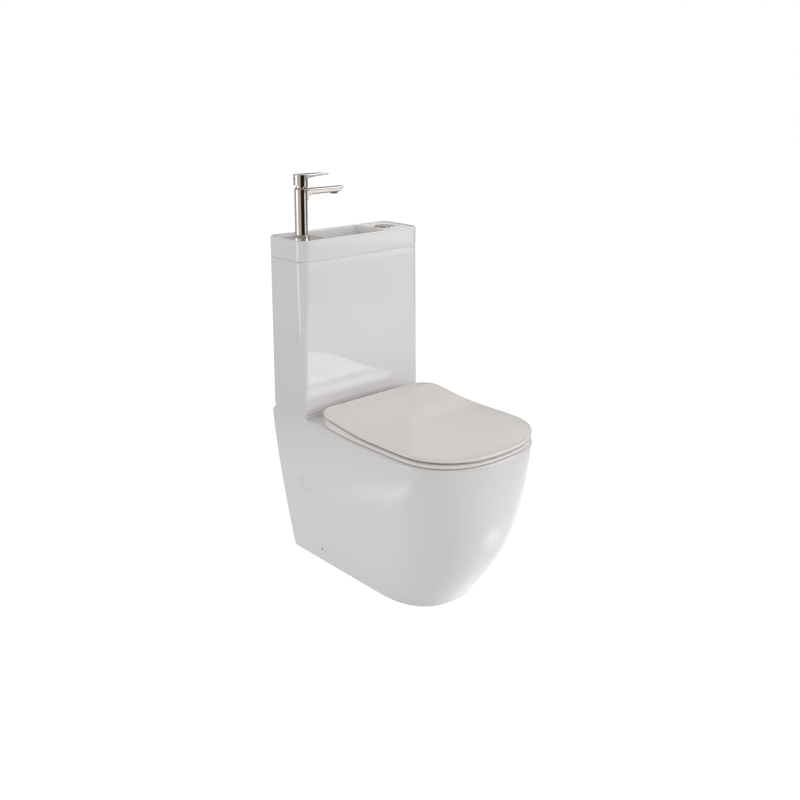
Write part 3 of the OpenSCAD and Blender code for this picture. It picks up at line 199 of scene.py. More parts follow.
def shape(piece, add=(), cut=()):
    for tools, how in ((add, "UNION"), (cut, "DIFFERENCE")):
        for tool in tools:
            m = piece.modifiers.new(how, "BOOLEAN")
            m.operation, m.object, m.solver = how, tool, "MANIFOLD"
    deps = bpy.context.evaluated_depsgraph_get()
    deps.update()
    done = bpy.data.meshes.new_from_object(piece.evaluated_get(deps))
    piece.modifiers.clear()
    piece.data = done
    for tool in list(add) + list(cut):
        bpy.data.objects.remove(tool)
    return piece


def finishPiece(piece, name, material, body, nodes, angle=32):
    piece.name = piece.data.name = name
    piece.data.materials.clear()
    piece.data.materials.append(material)
    for face in piece.data.polygons:
        face.use_smooth = True
        face.material_index = 0
    piece.data.set_sharp_from_angle(angle=math.radians(angle))
    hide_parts(*nodes)
    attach(piece, body)
    print("piece", name, len(piece.data.polygons), "faces")


# finishes
def rgb(r, g, b):
    return (r, g, b, 1)


def newGroup(name, *more):
    # every group takes two tones and a gloss, and gives what a surface needs
    tree = bpy.data.node_groups.new(name, "ShaderNodeTree")
    pale = rgb(0.8, 0.8, 0.8)
    for label, kind, value in (("Tone", "Color", pale), ("Second Tone", "Color", pale),
                               ("Gloss", "Float", 0.1), ("Gloss Spread", "Float", 0.02), *more):
        s = tree.interface.new_socket(name=label, in_out="INPUT", socket_type="NodeSocket" + kind)
        s.default_value = value
    for label, kind in (("Color", "Color"), ("Roughness", "Float"), ("Height", "Float")):
        tree.interface.new_socket(name=label, in_out="OUTPUT", socket_type="NodeSocket" + kind)
    return tree, tree.nodes.new("NodeGroupInput").outputs, tree.nodes.new("NodeGroupOutput").inputs


def addNode(tree, kind, where, **values):
    n = tree.nodes.new("ShaderNode" + kind)
    n.location = where
    for key, value in values.items():
        if key in n.inputs:
            n.inputs[key].default_value = value
        else:
            setattr(n, key, value)
    return n


def calculate(tree, where, how, *values):
    # each value is a number or another node's socket
    node = addNode(tree, "Math", where, operation=how)
    for socket, value in zip(node.inputs, values):
        if isinstance(value, (int, float)):
            socket.default_value = value
        else:
            tree.links.new(value, socket)
    return node.outputs[0]


def fillGroup(tree, given, results, share, rough, height):
    tone = addNode(tree, "MixRGB", (-350, 200))
    for source, socket in (
            (share, tone.inputs["Fac"]), (given["Tone"], tone.inputs["Color1"]),
            (given["Second Tone"], tone.inputs["Color2"]), (tone.outputs["Color"], results["Color"]),
            (rough, results["Roughness"]), (height, results["Height"])):
        tree.links.new(source, socket)
    return tree


# soft clouds and fine specks, as in a fired glaze or a moulded skin
def makeMottle():
    tree, given, results = newGroup(
        "mottle", ("Cloud Size", "Float", 9), ("Speck Size", "Float", 900), ("Speck Depth", "Float", 0.1))
    at = addNode(tree, "TexCoord", (-900, 0)).outputs["Object"]
    clouds = addNode(tree, "TexNoise", (-650, 150), Detail=3.0, Roughness=0.5)
    specks = addNode(tree, "TexNoise", (-650, -150), Detail=2.0, Roughness=0.6)
    for noise, size in ((clouds, "Cloud Size"), (specks, "Speck Size")):
        tree.links.new(at, noise.inputs["Vector"])
        tree.links.new(given[size], noise.inputs["Scale"])
    cloud, speck = clouds.outputs["Fac"], specks.outputs["Fac"]
    # roughness = gloss + gloss spread * (clouds - 0.5)
    off = calculate(tree, (-350, 0), "SUBTRACT", cloud, 0.5)
    rough = calculate(tree, (-180, 0), "MULTIPLY_ADD", off, given["Gloss Spread"], given["Gloss"])
    height = calculate(tree, (-180, -180), "MULTIPLY_ADD", speck, given["Speck Depth"], cloud)
    return fillGroup(tree, given, results, cloud, rough, height)


# long fine lines round an axis, as brushing or turning leaves them
def makeTurning():
    tree, given, results = newGroup("turningLines", ("Stretch", "Vector", (40, 40, 900)))
    scale = addNode(tree, "VectorMath", (-800, 0), operation="MULTIPLY")
    tree.links.new(addNode(tree, "TexCoord", (-1000, 0)).outputs["Object"], scale.inputs[0])
    tree.links.new(given["Stretch"], scale.inputs[1])
    lines = addNode(tree, "TexNoise", (-600, 0), Scale=1.0, Detail=4.0, Roughness=0.6)
    tree.links.new(scale.outputs[0], lines.inputs["Vector"])
    line = lines.outputs["Fac"]
    rough = calculate(tree, (-180, 0), "MULTIPLY_ADD", line, given["Gloss Spread"], given["Gloss"])
    return fillGroup(tree, given, results, line, rough, line)


mottle, turningLines = makeMottle(), makeTurning()


def emptyMaterial(name):
    mat = bpy.data.materials.new(name)
    mat.use_nodes = True
    tree = mat.node_tree
    tree.nodes.clear()
    return mat, tree, addNode(tree, "OutputMaterial", (600, 0))


def newMaterial(name, group, settings, bump, bumpSize, **shader):
    mat, tree, out = emptyMaterial(name)
    surface = addNode(tree, "BsdfPrincipled", (200, 0))
    for key, value in shader.items():
        surface.inputs[key.replace("_", " ")].default_value = value
    effect = addNode(tree, "Group", (-300, 0))
    effect.node_tree = group
    for key, value in settings.items():
        effect.inputs[key].default_value = value
    tree.links.new(effect.outputs["Color"], surface.inputs["Base Color"])
    tree.links.new(effect.outputs["Roughness"], surface.inputs["Roughness"])
    relief = addNode(tree, "Bump", (0, -250), Strength=bump, Distance=bumpSize)
    tree.links.new(effect.outputs["Height"], relief.inputs["Height"])
    tree.links.new(relief.outputs["Normal"], surface.inputs["Normal"])
    tree.links.new(surface.outputs[0], out.inputs["Surface"])
    return mat


# shared by the glaze and the side covers
warmWhite, dimWhite = rgb(0.85, 0.834, 0.832), rgb(0.835, 0.819, 0.816)
glaze = newMaterial(
    "whiteGlaze", mottle,
    {"Tone": warmWhite, "Second Tone": dimWhite, "Cloud Size": 7.0, "Speck Size": 260.0,
     "Speck Depth": 0.15, "Gloss": 0.06, "Gloss Spread": 0.03},
    bump=0.035, bumpSize=0.0012, IOR=1.52, Coat_Weight=0.7, Coat_Roughness=0.03)
seatPlastic = newMaterial(
    "satinSeatPlastic", mottle,
    {"Tone": rgb(0.905, 0.875, 0.855), "Second Tone": rgb(0.89, 0.86, 0.84), "Cloud Size": 11.0,
     "Speck Size": 1500.0, "Speck Depth": 0.4, "Gloss": 0.17, "Gloss Spread": 0.04},
    bump=0.04, bumpSize=0.0003, IOR=1.5, Coat_Weight=0.3, Coat_Roughness=0.12)


def metal(name, tone, second, stretch, gloss, glossSpread, bump, bumpSize=6e-5):
    return newMaterial(
        name, turningLines,
        {"Tone": rgb(*tone), "Second Tone": rgb(*second), "Stretch": stretch, "Gloss": gloss,
         "Gloss Spread": glossSpread},
        bump=bump, bumpSize=bumpSize, Metallic=1.0)


tapMetal = metal("warmPlatedBrass", (0.56, 0.52, 0.485), (0.6, 0.56, 0.525), (60, 60, 500), 0.04, 0.03, 0.02)
buttonMetal = metal("brushedPlate", (0.52, 0.5, 0.48), (0.58, 0.555, 0.53), (900, 70, 70), 0.2, 0.12, 0.05)
hingeMetal = metal("polishedHinge", (0.66, 0.65, 0.64), (0.7, 0.69, 0.68), (500, 60, 60), 0.12, 0.08, 0.02)
steel = metal("stainlessSteel", (0.5, 0.5, 0.49), (0.58, 0.58, 0.57), (80, 80, 900), 0.26, 0.14, 0.06, 8e-5)
brass = metal("plainBrass", (0.6, 0.42, 0.17), (0.66, 0.47, 0.2), (80, 80, 800), 0.28, 0.12, 0.06, 8e-5)
braid = metal("braidedSteel", (0.36, 0.36, 0.36), (0.62, 0.62, 0.61), (700, 700, 900), 0.3, 0.2, 0.5, 0.0004)


def moulded(name, tone, second, gloss=0.36):
    return newMaterial(
        name, mottle,
        {"Tone": rgb(*tone), "Second Tone": rgb(*second), "Cloud Size": 40.0, "Speck Size": 1800.0,
         "Speck Depth": 0.6, "Gloss": gloss, "Gloss Spread": 0.1},
        bump=0.12, bumpSize=0.0003, IOR=1.49)


whitePlastic = moulded("whitePlastic", (0.78, 0.78, 0.77), (0.74, 0.74, 0.73))
coverPlastic = newMaterial(
    "coverPlastic", mottle,
    {"Tone": warmWhite, "Second Tone": dimWhite, "Cloud Size": 30.0, "Speck Size": 700.0,
     "Speck Depth": 0.3, "Gloss": 0.07, "Gloss Spread": 0.03},
    bump=0.03, bumpSize=0.0004, IOR=1.52, Coat_Weight=0.6, Coat_Roughness=0.04)
greyPlastic = moulded("greyPlastic", (0.2, 0.2, 0.205), (0.16, 0.16, 0.165))
bluePlastic = moulded("bluePlastic", (0.05, 0.16, 0.42), (0.04, 0.13, 0.36))
blackRubber = moulded("blackRubber", (0.018, 0.018, 0.019), (0.03, 0.03, 0.031), 0.6)
clearRubber = moulded("clearRubber", (0.72, 0.72, 0.7), (0.66, 0.66, 0.64), 0.34)
redRubber = moulded("redRubber", (0.34, 0.045, 0.03), (0.27, 0.035, 0.025), 0.55)
slotFinish = {
    "glazed_ceramic": glaze, "seat_duroplast": seatPlastic, "chrome_metal": tapMetal,
    "button_chrome": buttonMetal, "steel": steel, "brass": brass, "braided_steel": braid,
    "white_plastic": whitePlastic, "grey_plastic": greyPlastic, "blue_plastic": bluePlastic,
    "black_rubber": blackRubber, "clear_rubber": clearRubber, "red_rubber": redRubber,
}
nodeFinish = {"hinge_post_left": hingeMetal, "hinge_post_right": hingeMetal}
print("finishes mixed")


pan = {
    "length": 596, "width": 368, "footWidth": 248, "footLength": 470, "rim": 391, "skirtWall": 11,
    # the skin's curves, fitted to its outline in the photograph
    "flareOver": 11, "flarePower": 1.33, "frontPowers": (2.8, 1.15), "footCap": 146, "capGain": 4,
    "capBulge": 28, "footPower": 2.5, "powerLoss": 0.2, "corner": 4, "edgeRound": 7,
    # the deck's rise behind the bowl, and the cistern's shelf on it
    "deckFront": 310, "deckRamp": 130, "deckRise": 7, "shelfStep": 8.4, "shelfHalf": 183.5,
    "shelfDepth": 134, "shelfRound": 1.8,
    # the bowl: half width, front and back of its floor, and the powers with which they grow
    "sump": 88, "sumpOval": (36, 345, 262), "bowlPowers": (0.52, 0.66, 0.6), "bowlHalf": 141,
    "bowlWall": 10, "mouthDrop": 4, "mouthEdge": 5.5, "mouthFall": 4.5,
    # rings of the bowl by their share of its height: under it upwards, inside it downwards
    "underAt": [0, .03, .08, .15, .25, .35, .45, .55, .65, .75, .84],
    "insideAt": [1, .985, .96, .93, .89, .85, .8, .75, .7, .64, .58, .52, .46, .4, .34, .28, .22,
                 .17, .13, .1, .07, .045, .025, .01, .003, 0],
    # the spigot and its bore: radius and reach
    "outlet": 182, "spigot": (51, 40, 80), "spigotBore": (31, 39, 66),
    # places of holes: x and d of the hinges, d and z of the side covers and the side screws
    "hinge": (77.5, 177), "cover": (101, 217), "screw": (125, 38), "boltX": 85, "inletX": -130,
    "recessR": 50, "flushR": 30, "inletHole": 20.8, "boltHole": 5.2, "plugHole": 7, "padR": 11,
    "screwHole": 3.6, "screwSpan": (90, 150), "stemHole": 14.4, "coverHole": 20.4,
}
rimZ = pan["rim"]
deckTop = rimZ + pan["deckRise"]
shelfZ = deckTop + pan["shelfStep"]
ceilingZ = rimZ - 23
bowlFront, bowlBack = pan["length"] - 45, 214
hingeX, hingeD = pan["hinge"]


def deckZ(d):
    return rimZ + pan["deckRise"] * smooth((pan["deckFront"] - d) / pan["deckRamp"])


def panHalfW(z):
    flare = 1 - max(0, 1 - z / (rimZ + pan["flareOver"])) ** pan["flarePower"]
    return pan["footWidth"] / 2 + (pan["width"] - pan["footWidth"]) / 2 * flare


def skinHalf(z, inset=0, back=0):
    t = min(1, z / rimZ)
    inner, outer = pan["frontPowers"]
    front = pan["footLength"] + (pan["length"] - pan["footLength"]) * (1 - (1 - t) ** inner) ** outer
    cap = pan["footCap"] + pan["capGain"] * t + pan["capBulge"] * 4 * t * (1 - t)
    power = pan["footPower"] - pan["powerLoss"] * z / rimZ
    return dHalf(panHalfW(z) - inset, front - inset, cap - inset, power, back, pan["corner"])


def bowlZ(t):
    return pan["sump"] + (rimZ - pan["mouthDrop"] - pan["sump"]) * t


def bowlHalf(t, grow=0):
    (w, front, back), (widen, reach, recede) = pan["sumpOval"], pan["bowlPowers"]
    w = w + (pan["bowlHalf"] - w) * t ** widen + grow
    front = front + (bowlFront - front) * t ** reach + grow
    back = back + (bowlBack - back) * t ** recede - grow
    return ovalHalf(w, front, back, back + (front - back) * 0.52, 2.2)


trap = {"r": 27, "wall": 9, "bend": 38, "steps": 12, "sides": 40}
bendR, outletZ = trap["bend"], pan["outlet"]
throat, dip = (249, pan["sump"] + 29), (219, pan["sump"] + 61)
crest = (dip[0] - 2 * bendR, outletZ + 1)
crestTurn = math.degrees(math.acos(1 - (bendR + crest[1] - outletZ) / (2 * bendR)))
drop = (crest[0] - 2 * bendR * sind(crestTurn), outletZ + bendR)


def bend(centre, a0, a1, first):
    turns = spread(a0, a1, trap["steps"])[first:]
    return [(centre[0] + bendR * cosd(a), centre[1] + bendR * sind(a)) for a in turns]


# the trap's way, as d and z
trapWay = ([throat] + bend(dip, -76, -180, 0) + bend(crest, 0, 90 + crestTurn, 1)
           + bend(drop, crestTurn - 90, -90, 1) + [(drop[0] - 16, outletZ)])


def trapTube(r, reach):
    rings = []
    for i, p in enumerate(trapWay):
        a, b = trapWay[max(0, i - 1)], trapWay[min(len(trapWay) - 1, i + 1)]
        way = Vector((b[0] - a[0], b[1] - a[1])).normalized()
        shift = -reach if i == 0 else reach / 4 if i == len(trapWay) - 1 else 0
        d, z = p[0] + shift * way.x, p[1] + shift * way.y
        rings.append([(r * cosd(a), fwd(d - way.y * r * sind(a)), z + way.x * r * sind(a))
                      for a in spread(0, 360, trap["sides"])[:-1]])
    return loft("cutter", rings)


flush = {"half": 48, "back": 47, "front": 49, "round": 8, "slotHalf": 30, "slotReach": 20, "wall": 12}


def duct(grow):
    # the flush chamber under the shelf and the slot from there into the bowl
    low, high = ceilingZ - 34, ceilingZ - 4
    w = flush["half"] + grow
    main = roundBlock(-w, w, middleD - flush["back"] - grow, middleD + flush["front"] + grow,
                      low - grow, high + grow, flush["round"] + grow / 2)
    w = flush["slotHalf"] + grow
    way = roundBlock(-w, w, middleD, bowlBack - 6 + (0 if grow else flush["slotReach"]),
                     low + 4 - grow, high - 2 + grow, 2)
    return [main, way]


def onSide(side, d, z):
    # a frame that stands square on the pan's skin
    lean = math.atan((panHalfW(z + 5) - panHalfW(z - 5)) / 10)
    m = Matrix.Translation((panHalfW(z), fwd(d), z)) @ Matrix.Rotation(lean + math.pi / 2, 4, "Y")
    return Matrix.Scale(-1, 4, (1, 0, 0)) @ m if side < 0 else m


def panRings():
    wall, under, top, edge = pan["skirtWall"], pan["bowlWall"], rimZ, pan["edgeRound"]
    rings = [ring(bowlHalf(t, under), bowlZ(t) - under * (1 - t)) for t in pan["underAt"]]
    # under the deck and down inside the skirt
    rings += [ring(bowlHalf(0.93, under + 3), ceilingZ),
              ring(skinHalf(ceilingZ, wall + 8, wall + 1), ceilingZ),
              ring(skinHalf(ceilingZ, wall, wall + 1), ceilingZ - 7)]
    rings += [ring(skinHalf(z, wall, wall + 1), z) for z in spread(345, 0, 18)]
    # round the foot's edge and up the skin
    rings += [ring(skinHalf(0, 1.6, 0), 0), ring(skinHalf(0.4, 0.5, 0), 0.4)]
    rings += [ring(skinHalf(z), z) for z in [1.4] + spread(8, top - 18, 46) + spread(top - 15, top - 8.5, 3)]
    # over the rim and into the bowl
    rings += [ring(skinHalf(top, edge * i, edge * i / 4), lambda d, k=edge * k: deckZ(d) - k)
              for i, k in quarter(0, 8)]
    mouth, fall = pan["mouthEdge"], pan["mouthFall"]
    rimHalf, mouthHalf = skinHalf(top, edge, edge / 4), bowlHalf(1, mouth)
    rings += [ring(blendHalf(rimHalf, mouthHalf, k / 9), deckZ) for k in range(1, 10)]
    rings += [ring(bowlHalf(1, mouth - mouth * sind(a)), lambda d, k=fall * (1 - cosd(a)): deckZ(d) - k)
              for a in spread(18, 72, 3)]
    return rings + [ring(bowlHalf(t), bowlZ(t)) for t in pan["insideAt"]]


def rearGap():
    # the open space behind the skirt, narrower at the floor
    wall, top = pan["skirtWall"], 290
    lower, upper = pan["footWidth"] / 2 - wall - 7, panHalfW(top) - wall - 12
    outline = ((-lower, -1), (lower, -1), (upper, top), (-upper, top))
    return newMesh("gap", [(x, fwd(d), z) for d in (-2, wall + 3) for x, z in outline], blockFaces)


def buildPan():
    body = loft("pan", panRings())
    half, step, r = pan["shelfHalf"], pan["shelfStep"], pan["shelfRound"]
    # the shelf's edge: inset and height over the deck
    shelfEdge = [(0, -9), (0, step - r)] + [(r * i, step - r * k) for i, k in quarter(22.5, 3)]
    shelf = loft("shelf", [
        boxRing(-half + i, half - i, i * 0.5, pan["shelfDepth"] - i, 7 - i, 22 - i, deckTop + z, 16)
        for i, z in shelfEdge])
    add = [shelf] + duct(flush["wall"])
    add += [trapTube(trap["r"] + trap["wall"], 0), rodY(*pan["spigot"], outletZ)]
    add += [rodZ(pan["padR"], ceilingZ + 4, deckTop - 0.3, s * hingeX, hingeD) for s in (-1, 1)]
    below, above = ceilingZ - 20, shelfZ + 1
    cut = [rearGap()] + duct(0) + [
        trapTube(trap["r"], 30), rodY(*pan["spigotBore"], outletZ),
        rodZ(pan["recessR"], shelfZ - 28, above, 0, middleD, 96),
        rodZ(pan["flushR"], ceilingZ - 24, shelfZ, 0, middleD, 96),
        rodZ(pan["inletHole"], below, above, pan["inletX"], middleD)]
    for s in (-1, 1):
        place, stemR, coverR = onSide(s, *pan["cover"]), pan["stemHole"], pan["coverHole"]
        cut += [rodZ(pan["boltHole"], below, above, s * pan["boltX"], middleD),
                rodZ(pan["plugHole"], below, deckTop + 1, s * hingeX, hingeD),
                rodX(pan["screwHole"], *sorted(s * x for x in pan["screwSpan"]), *pan["screw"]),
                turned("cutter", [(stemR, -30), (stemR, 8)], place),
                turned("cutter", [(coverR, -2.2), (coverR, 12)], place, 96)]
    finishPiece(shape(body, add, cut), "panBody", glaze, "base", ["pan"])


buildPan()


cover = {"r": 20, "thick": 2, "edge": 0.9, "crown": 0.5, "stemR": 14, "stemWall": 2, "stemLength": 14}


def buildCovers():
    r, thick, edge = cover["r"], cover["thick"], cover["edge"]
    outside, inside, end = cover["stemR"], cover["stemR"] - cover["stemWall"], -cover["stemLength"]
    rim = [(r - edge * i, -edge * k) for i, k in quarter(0, 6)]
    crown = [(q, cover["crown"] * (1 - (q / r) ** 2)) for q in spread(18, 0, 8)]
    stem = [(outside, end), (outside, -1.5), (0, -1.5), (0, -3), (inside, -3), (inside, end)]
    halves = []
    for side in (-1, 1):
        place = onSide(side, *pan["cover"])
        halves.append(turned("cover", [(0, -thick), (r, -thick)] + rim + crown, place, 96))
        halves.append(loft("stem", [circle(max(q, tinyR), z, 64) for q, z in stem], place, closed=True))
    finishPiece(shape(halves[0], halves[1:]), "sideCoverPair", coverPlastic, "base",
                ["side_covers"])


buildCovers()


tank = {"half": 185, "depth": 133, "low": 406.6, "high": 774.0, "wall": 8.5, "floor": 12,
        "footR": 7, "frontR": 23, "backR": 22, "lowRound": 2.5, "highRound": 5,
        "valveHole": 32.2, "inletHole": 11.6}


def tankRing(inset, z):
    # the front corners grow rounder towards the top
    up = min(1, max(0, (z - tank["low"]) / (tank["high"] - tank["low"])))
    half, front = tank["half"] - inset, mix(tank["footR"], tank["frontR"], up) - inset
    return boxRing(-half, half, inset, tank["depth"] - inset, front, tank["backR"] - inset, z, 20, 12)


def buildTank():
    low, high, wall = tank["lowRound"], tank["highRound"], tank["wall"]
    rings = [tankRing(low * k, tank["low"] + low * i) for i, k in quarter(0, 9)]
    rings += [tankRing(0, z) for z in spread(tank["low"] + low, tank["high"] - high, 24)[1:]]
    rings += [tankRing(0.8 * high * i, tank["high"] - high * k) for i, k in quarter(0, 9)]
    body = loft("cistern", rings)
    half = tank["half"] - wall
    cut = [roundBlock(-half, half, wall, tank["depth"] - wall, tank["low"] + tank["floor"],
                      tank["high"] + 1, tank["backR"] - wall)]
    bolt, boltX = pan["boltHole"], pan["boltX"]
    for r, x in ((tank["valveHole"], 0), (tank["inletHole"], pan["inletX"]), (bolt, -boltX), (bolt, boltX)):
        cut.append(rodZ(r, tank["low"] - 1, tank["low"] + 20, x, middleD))
    finishPiece(shape(body, (), cut), "cisternBody", glaze, "base", ["cistern"])


buildTank()


basin = {
    "low": 774.2, "high": 822.6, "lip": 2.5, "lipWidth": 4.4, "left": 95, "right": 86, "deep": 76,
    "wall": 7.5, "lean": 9, "edge": 9.4, "topRound": 2.9, "topDrop": 6, "mouthR": 14, "mouthRound": 3.0,
    "tapHole": 17, "buttonHole": 17.1, "wasteHole": 17, "flangeHole": 21.6,
    # rings of the bowl: inset, lean past the bowl's, corner, height over its floor
    "outside": [(7, 0, 12, -8), (3, 0, 13.5, -7), (1, 0, 14, -5), (-4.5, -.5, 16.5, 2), (-6, -1, 18, 8)],
    "inside": [(1.4, 0, 12.4, 19), (2.5, 1, 13, 11), (4.2, 1.6, 13.6, 6), (6.5, 2.2, 14, 3),
               (9.5, 3.4, 13.4, 1), (13, 5, 12, 0)],
    # inset, lean, depth under the deck
    "throat": [(0.5, 1.0, 7), (.7, 2.2, 12), (.85, 4.2, 24)],
    # inset past the lip's width, depth under the top
    "lipFall": [(-1.3, 0), (-.75, .15), (-.3, .55), (.1, 1.3), (.5, 1.95), (1, 2.35), (1.8, 2.5)],
}
basinDeck = basin["high"] - basin["lip"]
basinFloor = basinDeck - basin["deep"]
wasteX = (basin["right"] - basin["left"]) / 2
tapX, buttonX = -133, 120


def bowlRing(inset, lean, r, z):
    edge = basin["edge"]
    return boxRing(-basin["left"] + inset, basin["right"] - inset, edge + inset + lean,
                   tank["depth"] - edge - inset - lean, r, r, z, 20, 12)


def basinRings():
    lean, low, top, floor = basin["lean"], basin["low"], basin["high"], basinFloor
    rings = [bowlRing(i, lean + k, r, floor + z) for i, k, r, z in basin["outside"]]
    rings += [bowlRing(-basin["wall"], lean, 18, low)]
    rings += [tankRing(0.8, low), tankRing(0.25, low + .3), tankRing(0, low + 1.0)]
    r, fall = basin["topRound"], basin["topDrop"]
    rings += [tankRing(0, z) for z in spread(low + 4, top - fall - 2, 7)]
    rings += [tankRing(r * i, top - fall * k) for i, k in quarter(0, 10)]
    rings += [tankRing(basin["lipWidth"] + i, top - z) for i, z in basin["lipFall"]]
    r, mouth = basin["mouthR"], basin["mouthRound"]
    rings += [bowlRing(-mouth + mouth * sind(a), 0, r - 2 * sind(a), basinDeck - mouth * (1 - cosd(a)))
              for a in [0] + spread(15, 90, 5)]
    rings += [bowlRing(i, k, 12, basinDeck - z) for i, k, z in basin["throat"]]
    rings += [bowlRing(1, lean - 1, 12, low - 1)]
    return rings + [bowlRing(i, lean + k, r, floor + z) for i, k, r, z in basin["inside"]]


def buildBasin():
    body = loft("basin", basinRings())
    half, t, low, floor = tank["half"], tank["wall"], basin["low"], basinFloor
    left, right = -basin["left"] - basin["wall"] - 1, basin["right"] + basin["wall"] + 1
    cut = [roundBlock(x0, x1, t, tank["depth"] - t, low - 1, basinDeck - 9.5, 10)
           for x0, x1 in ((-half + t, left), (right, half - t))]
    under, over = basinDeck - 12, basin["high"] + 1
    cut += [rodZ(basin["tapHole"], under, over, tapX, middleD),
            rodZ(basin["buttonHole"], under, over, buttonX, middleD, 64),
            rodZ(basin["wasteHole"], floor - 20, floor + 1, wasteX, middleD),
            rodZ(basin["flangeHole"], floor - 2.5, floor + 5, wasteX, middleD, 96)]
    finishPiece(shape(body, (), cut), "handBasin", glaze, "base", ["basin"])


buildBasin()


seat = {
    "half": 181, "back": 166, "front": 593, "lidThick": 7, "lidGap": 6, "seatGap": 2.5, "thick": 8,
    # the lid's rise to the back and its fall at the front, each with the length it takes
    "sweep": 15, "sweepFrom": 370, "sweepLength": 180, "sweepPower": 1.3, "droop": 2.4, "droopLength": 60,
    "cap": 150, "corner": 50, "power": 2.4, "centre": 390, "seatBack": 5.5,
    "opening": (108, 522, 256), "openingPower": 2.3, "barrel": 8.5, "pinHole": 3.56, "damperHole": 6.4,
    # from where to where along the hinge: barrel, hole for the pin, hole for the damper
    "lidSpans": ((29, 69.5), (56, 70.5), (31, 57)), "seatSpans": ((85.5, 126), (84.5, 99), (98, 124)),
    # edges of the lid: inset and height over its underside, then inset and depth under its top
    "lidLow": [(2, 0), (1.1, .25), (.5, .8), (.12, 1.6), (0, 2.4)],
    "lidHigh": [(0, 2.7), (.15, 1.9), (.5, 1.15), (1.1, .55), (1.9, .15), (2.8, 0)],
    # the same of the seat, its dished top as share of the way in and depth, and its opening's edge
    "seatLow": [(2.2, 0), (1.2, .25), (.5, .8), (.1, 1.6), (0, 2.4)],
    "seatHigh": [(0, 2.8), (.2, 1.9), (.7, 1.0), (1.5, .35), (2.6, 0)],
    "dish": [(.1, 0), (.2, 0), (.35, 0), (.48, .1), (.6, .35), (.72, .7), (.84, 1.2), (.93, 1.6)],
    "openingHigh": [(2.5, 2), (1.5, 2.5), (.6, 3.3), (.1, 4.2), (0, 4.8)],
    "openingLow": [(.3, 1), (1, .35), (3, 0)],
}
hingeZ = deckTop + 15
lidFrontTop = rimZ + seat["seatGap"] + seat["thick"] + seat["lidGap"] + seat["lidThick"]


def lidTop(d):
    rise = smooth(max(0, (seat["sweepFrom"] - d) / seat["sweepLength"]) ** seat["sweepPower"])
    fall = max(0, (d - seat["front"] + seat["droopLength"]) / seat["droopLength"]) ** 2
    return lidFrontTop + seat["sweep"] * rise - seat["droop"] * fall


def lidUnder(d):
    return lidTop(d) - seat["lidThick"]


def seatTop(d):
    return lidUnder(d) - seat["lidGap"]


def seatUnder(d):
    return deckZ(d) + seat["seatGap"]


def lidHalf(i):
    return dHalf(seat["half"] - i, seat["front"] - i, seat["cap"] - i, seat["power"], seat["back"] + i,
                 seat["corner"])


def seatHalf(i):
    return dHalf(seat["half"] - .4 - i, seat["front"] - .6 - i, seat["cap"] - i, seat["power"],
                 seat["back"] + seat["seatBack"] + i, seat["corner"])


def openingHalf(grow):
    w, front, back = seat["opening"]
    return ovalHalf(w + grow, front + grow, back - grow, (front + back) / 2, seat["openingPower"])


def shrunk(half, share):
    return [(x * share, seat["centre"] + (d - seat["centre"]) * share) for x, d in half]


def edgeRings(half, table, height, way):
    # rings along an edge, moved up (way 1) or down (way -1) from the height
    return [ring(half(i), lambda d, k=k: height(d) + way * k) for i, k in table]


def addBarrels(body, spans, *web):
    # on both sides a barrel with its web, less the holes for pin and damper
    barrel, pin, damper = spans
    add, cut = [], []
    for s in (-1, 1):
        x0, x1 = sorted(s * x for x in barrel)
        add += [rodX(seat["barrel"], x0, x1, hingeD, hingeZ, 64), roundBlock(x0, x1, *web, 1)]
        for r, span in ((seat["pinHole"], pin), (seat["damperHole"], damper)):
            cut.append(rodX(r, *sorted(s * x for x in span), hingeD, hingeZ))
    shape(body, add, cut)


def buildLid():
    shares = [0.01] + spread(0.06, 0.96, 15)
    rings = [ring(shrunk(lidHalf(2), s), lidUnder) for s in shares]
    rings += edgeRings(lidHalf, seat["lidLow"], lidUnder, 1) + edgeRings(lidHalf, seat["lidHigh"], lidTop, -1)
    rings += [ring(shrunk(lidHalf(2.8), s), lidTop) for s in shares[::-1]]
    body = loft("lid", rings)
    addBarrels(body, seat["lidSpans"], hingeD - 6, hingeD + 6, hingeZ, lidUnder(hingeD) + 2)
    finishPiece(body, "seatLid", seatPlastic, "lid_unit", ["lid"], 35)


def seatRings():
    rings = edgeRings(seatHalf, seat["seatLow"], seatUnder, 1)
    rings += edgeRings(seatHalf, seat["seatHigh"], seatTop, -1)
    rings += edgeRings(lambda t: blendHalf(seatHalf(2.6), openingHalf(2), t), seat["dish"], seatTop, -1)
    rings += edgeRings(openingHalf, seat["openingHigh"], seatTop, -1)
    rings += edgeRings(openingHalf, seat["openingLow"], seatUnder, 1)
    return rings + [ring(blendHalf(seatHalf(2.2), openingHalf(3), t), seatUnder) for t in (.75, .5, .25)]


def buildSeat():
    body = loft("seat", seatRings(), closed=True)
    shape(body, (), [roundBlock(-85.5, 85.5, 163, hingeD + 14, deckTop, hingeZ + 20, 3)])
    addBarrels(body, seat["seatSpans"], hingeD, hingeD + 20, seatUnder(hingeD) + 1, hingeZ)
    finishPiece(body, "seatRing", seatPlastic, "seat_unit", ["seat"], 35)


buildLid()
buildSeat()


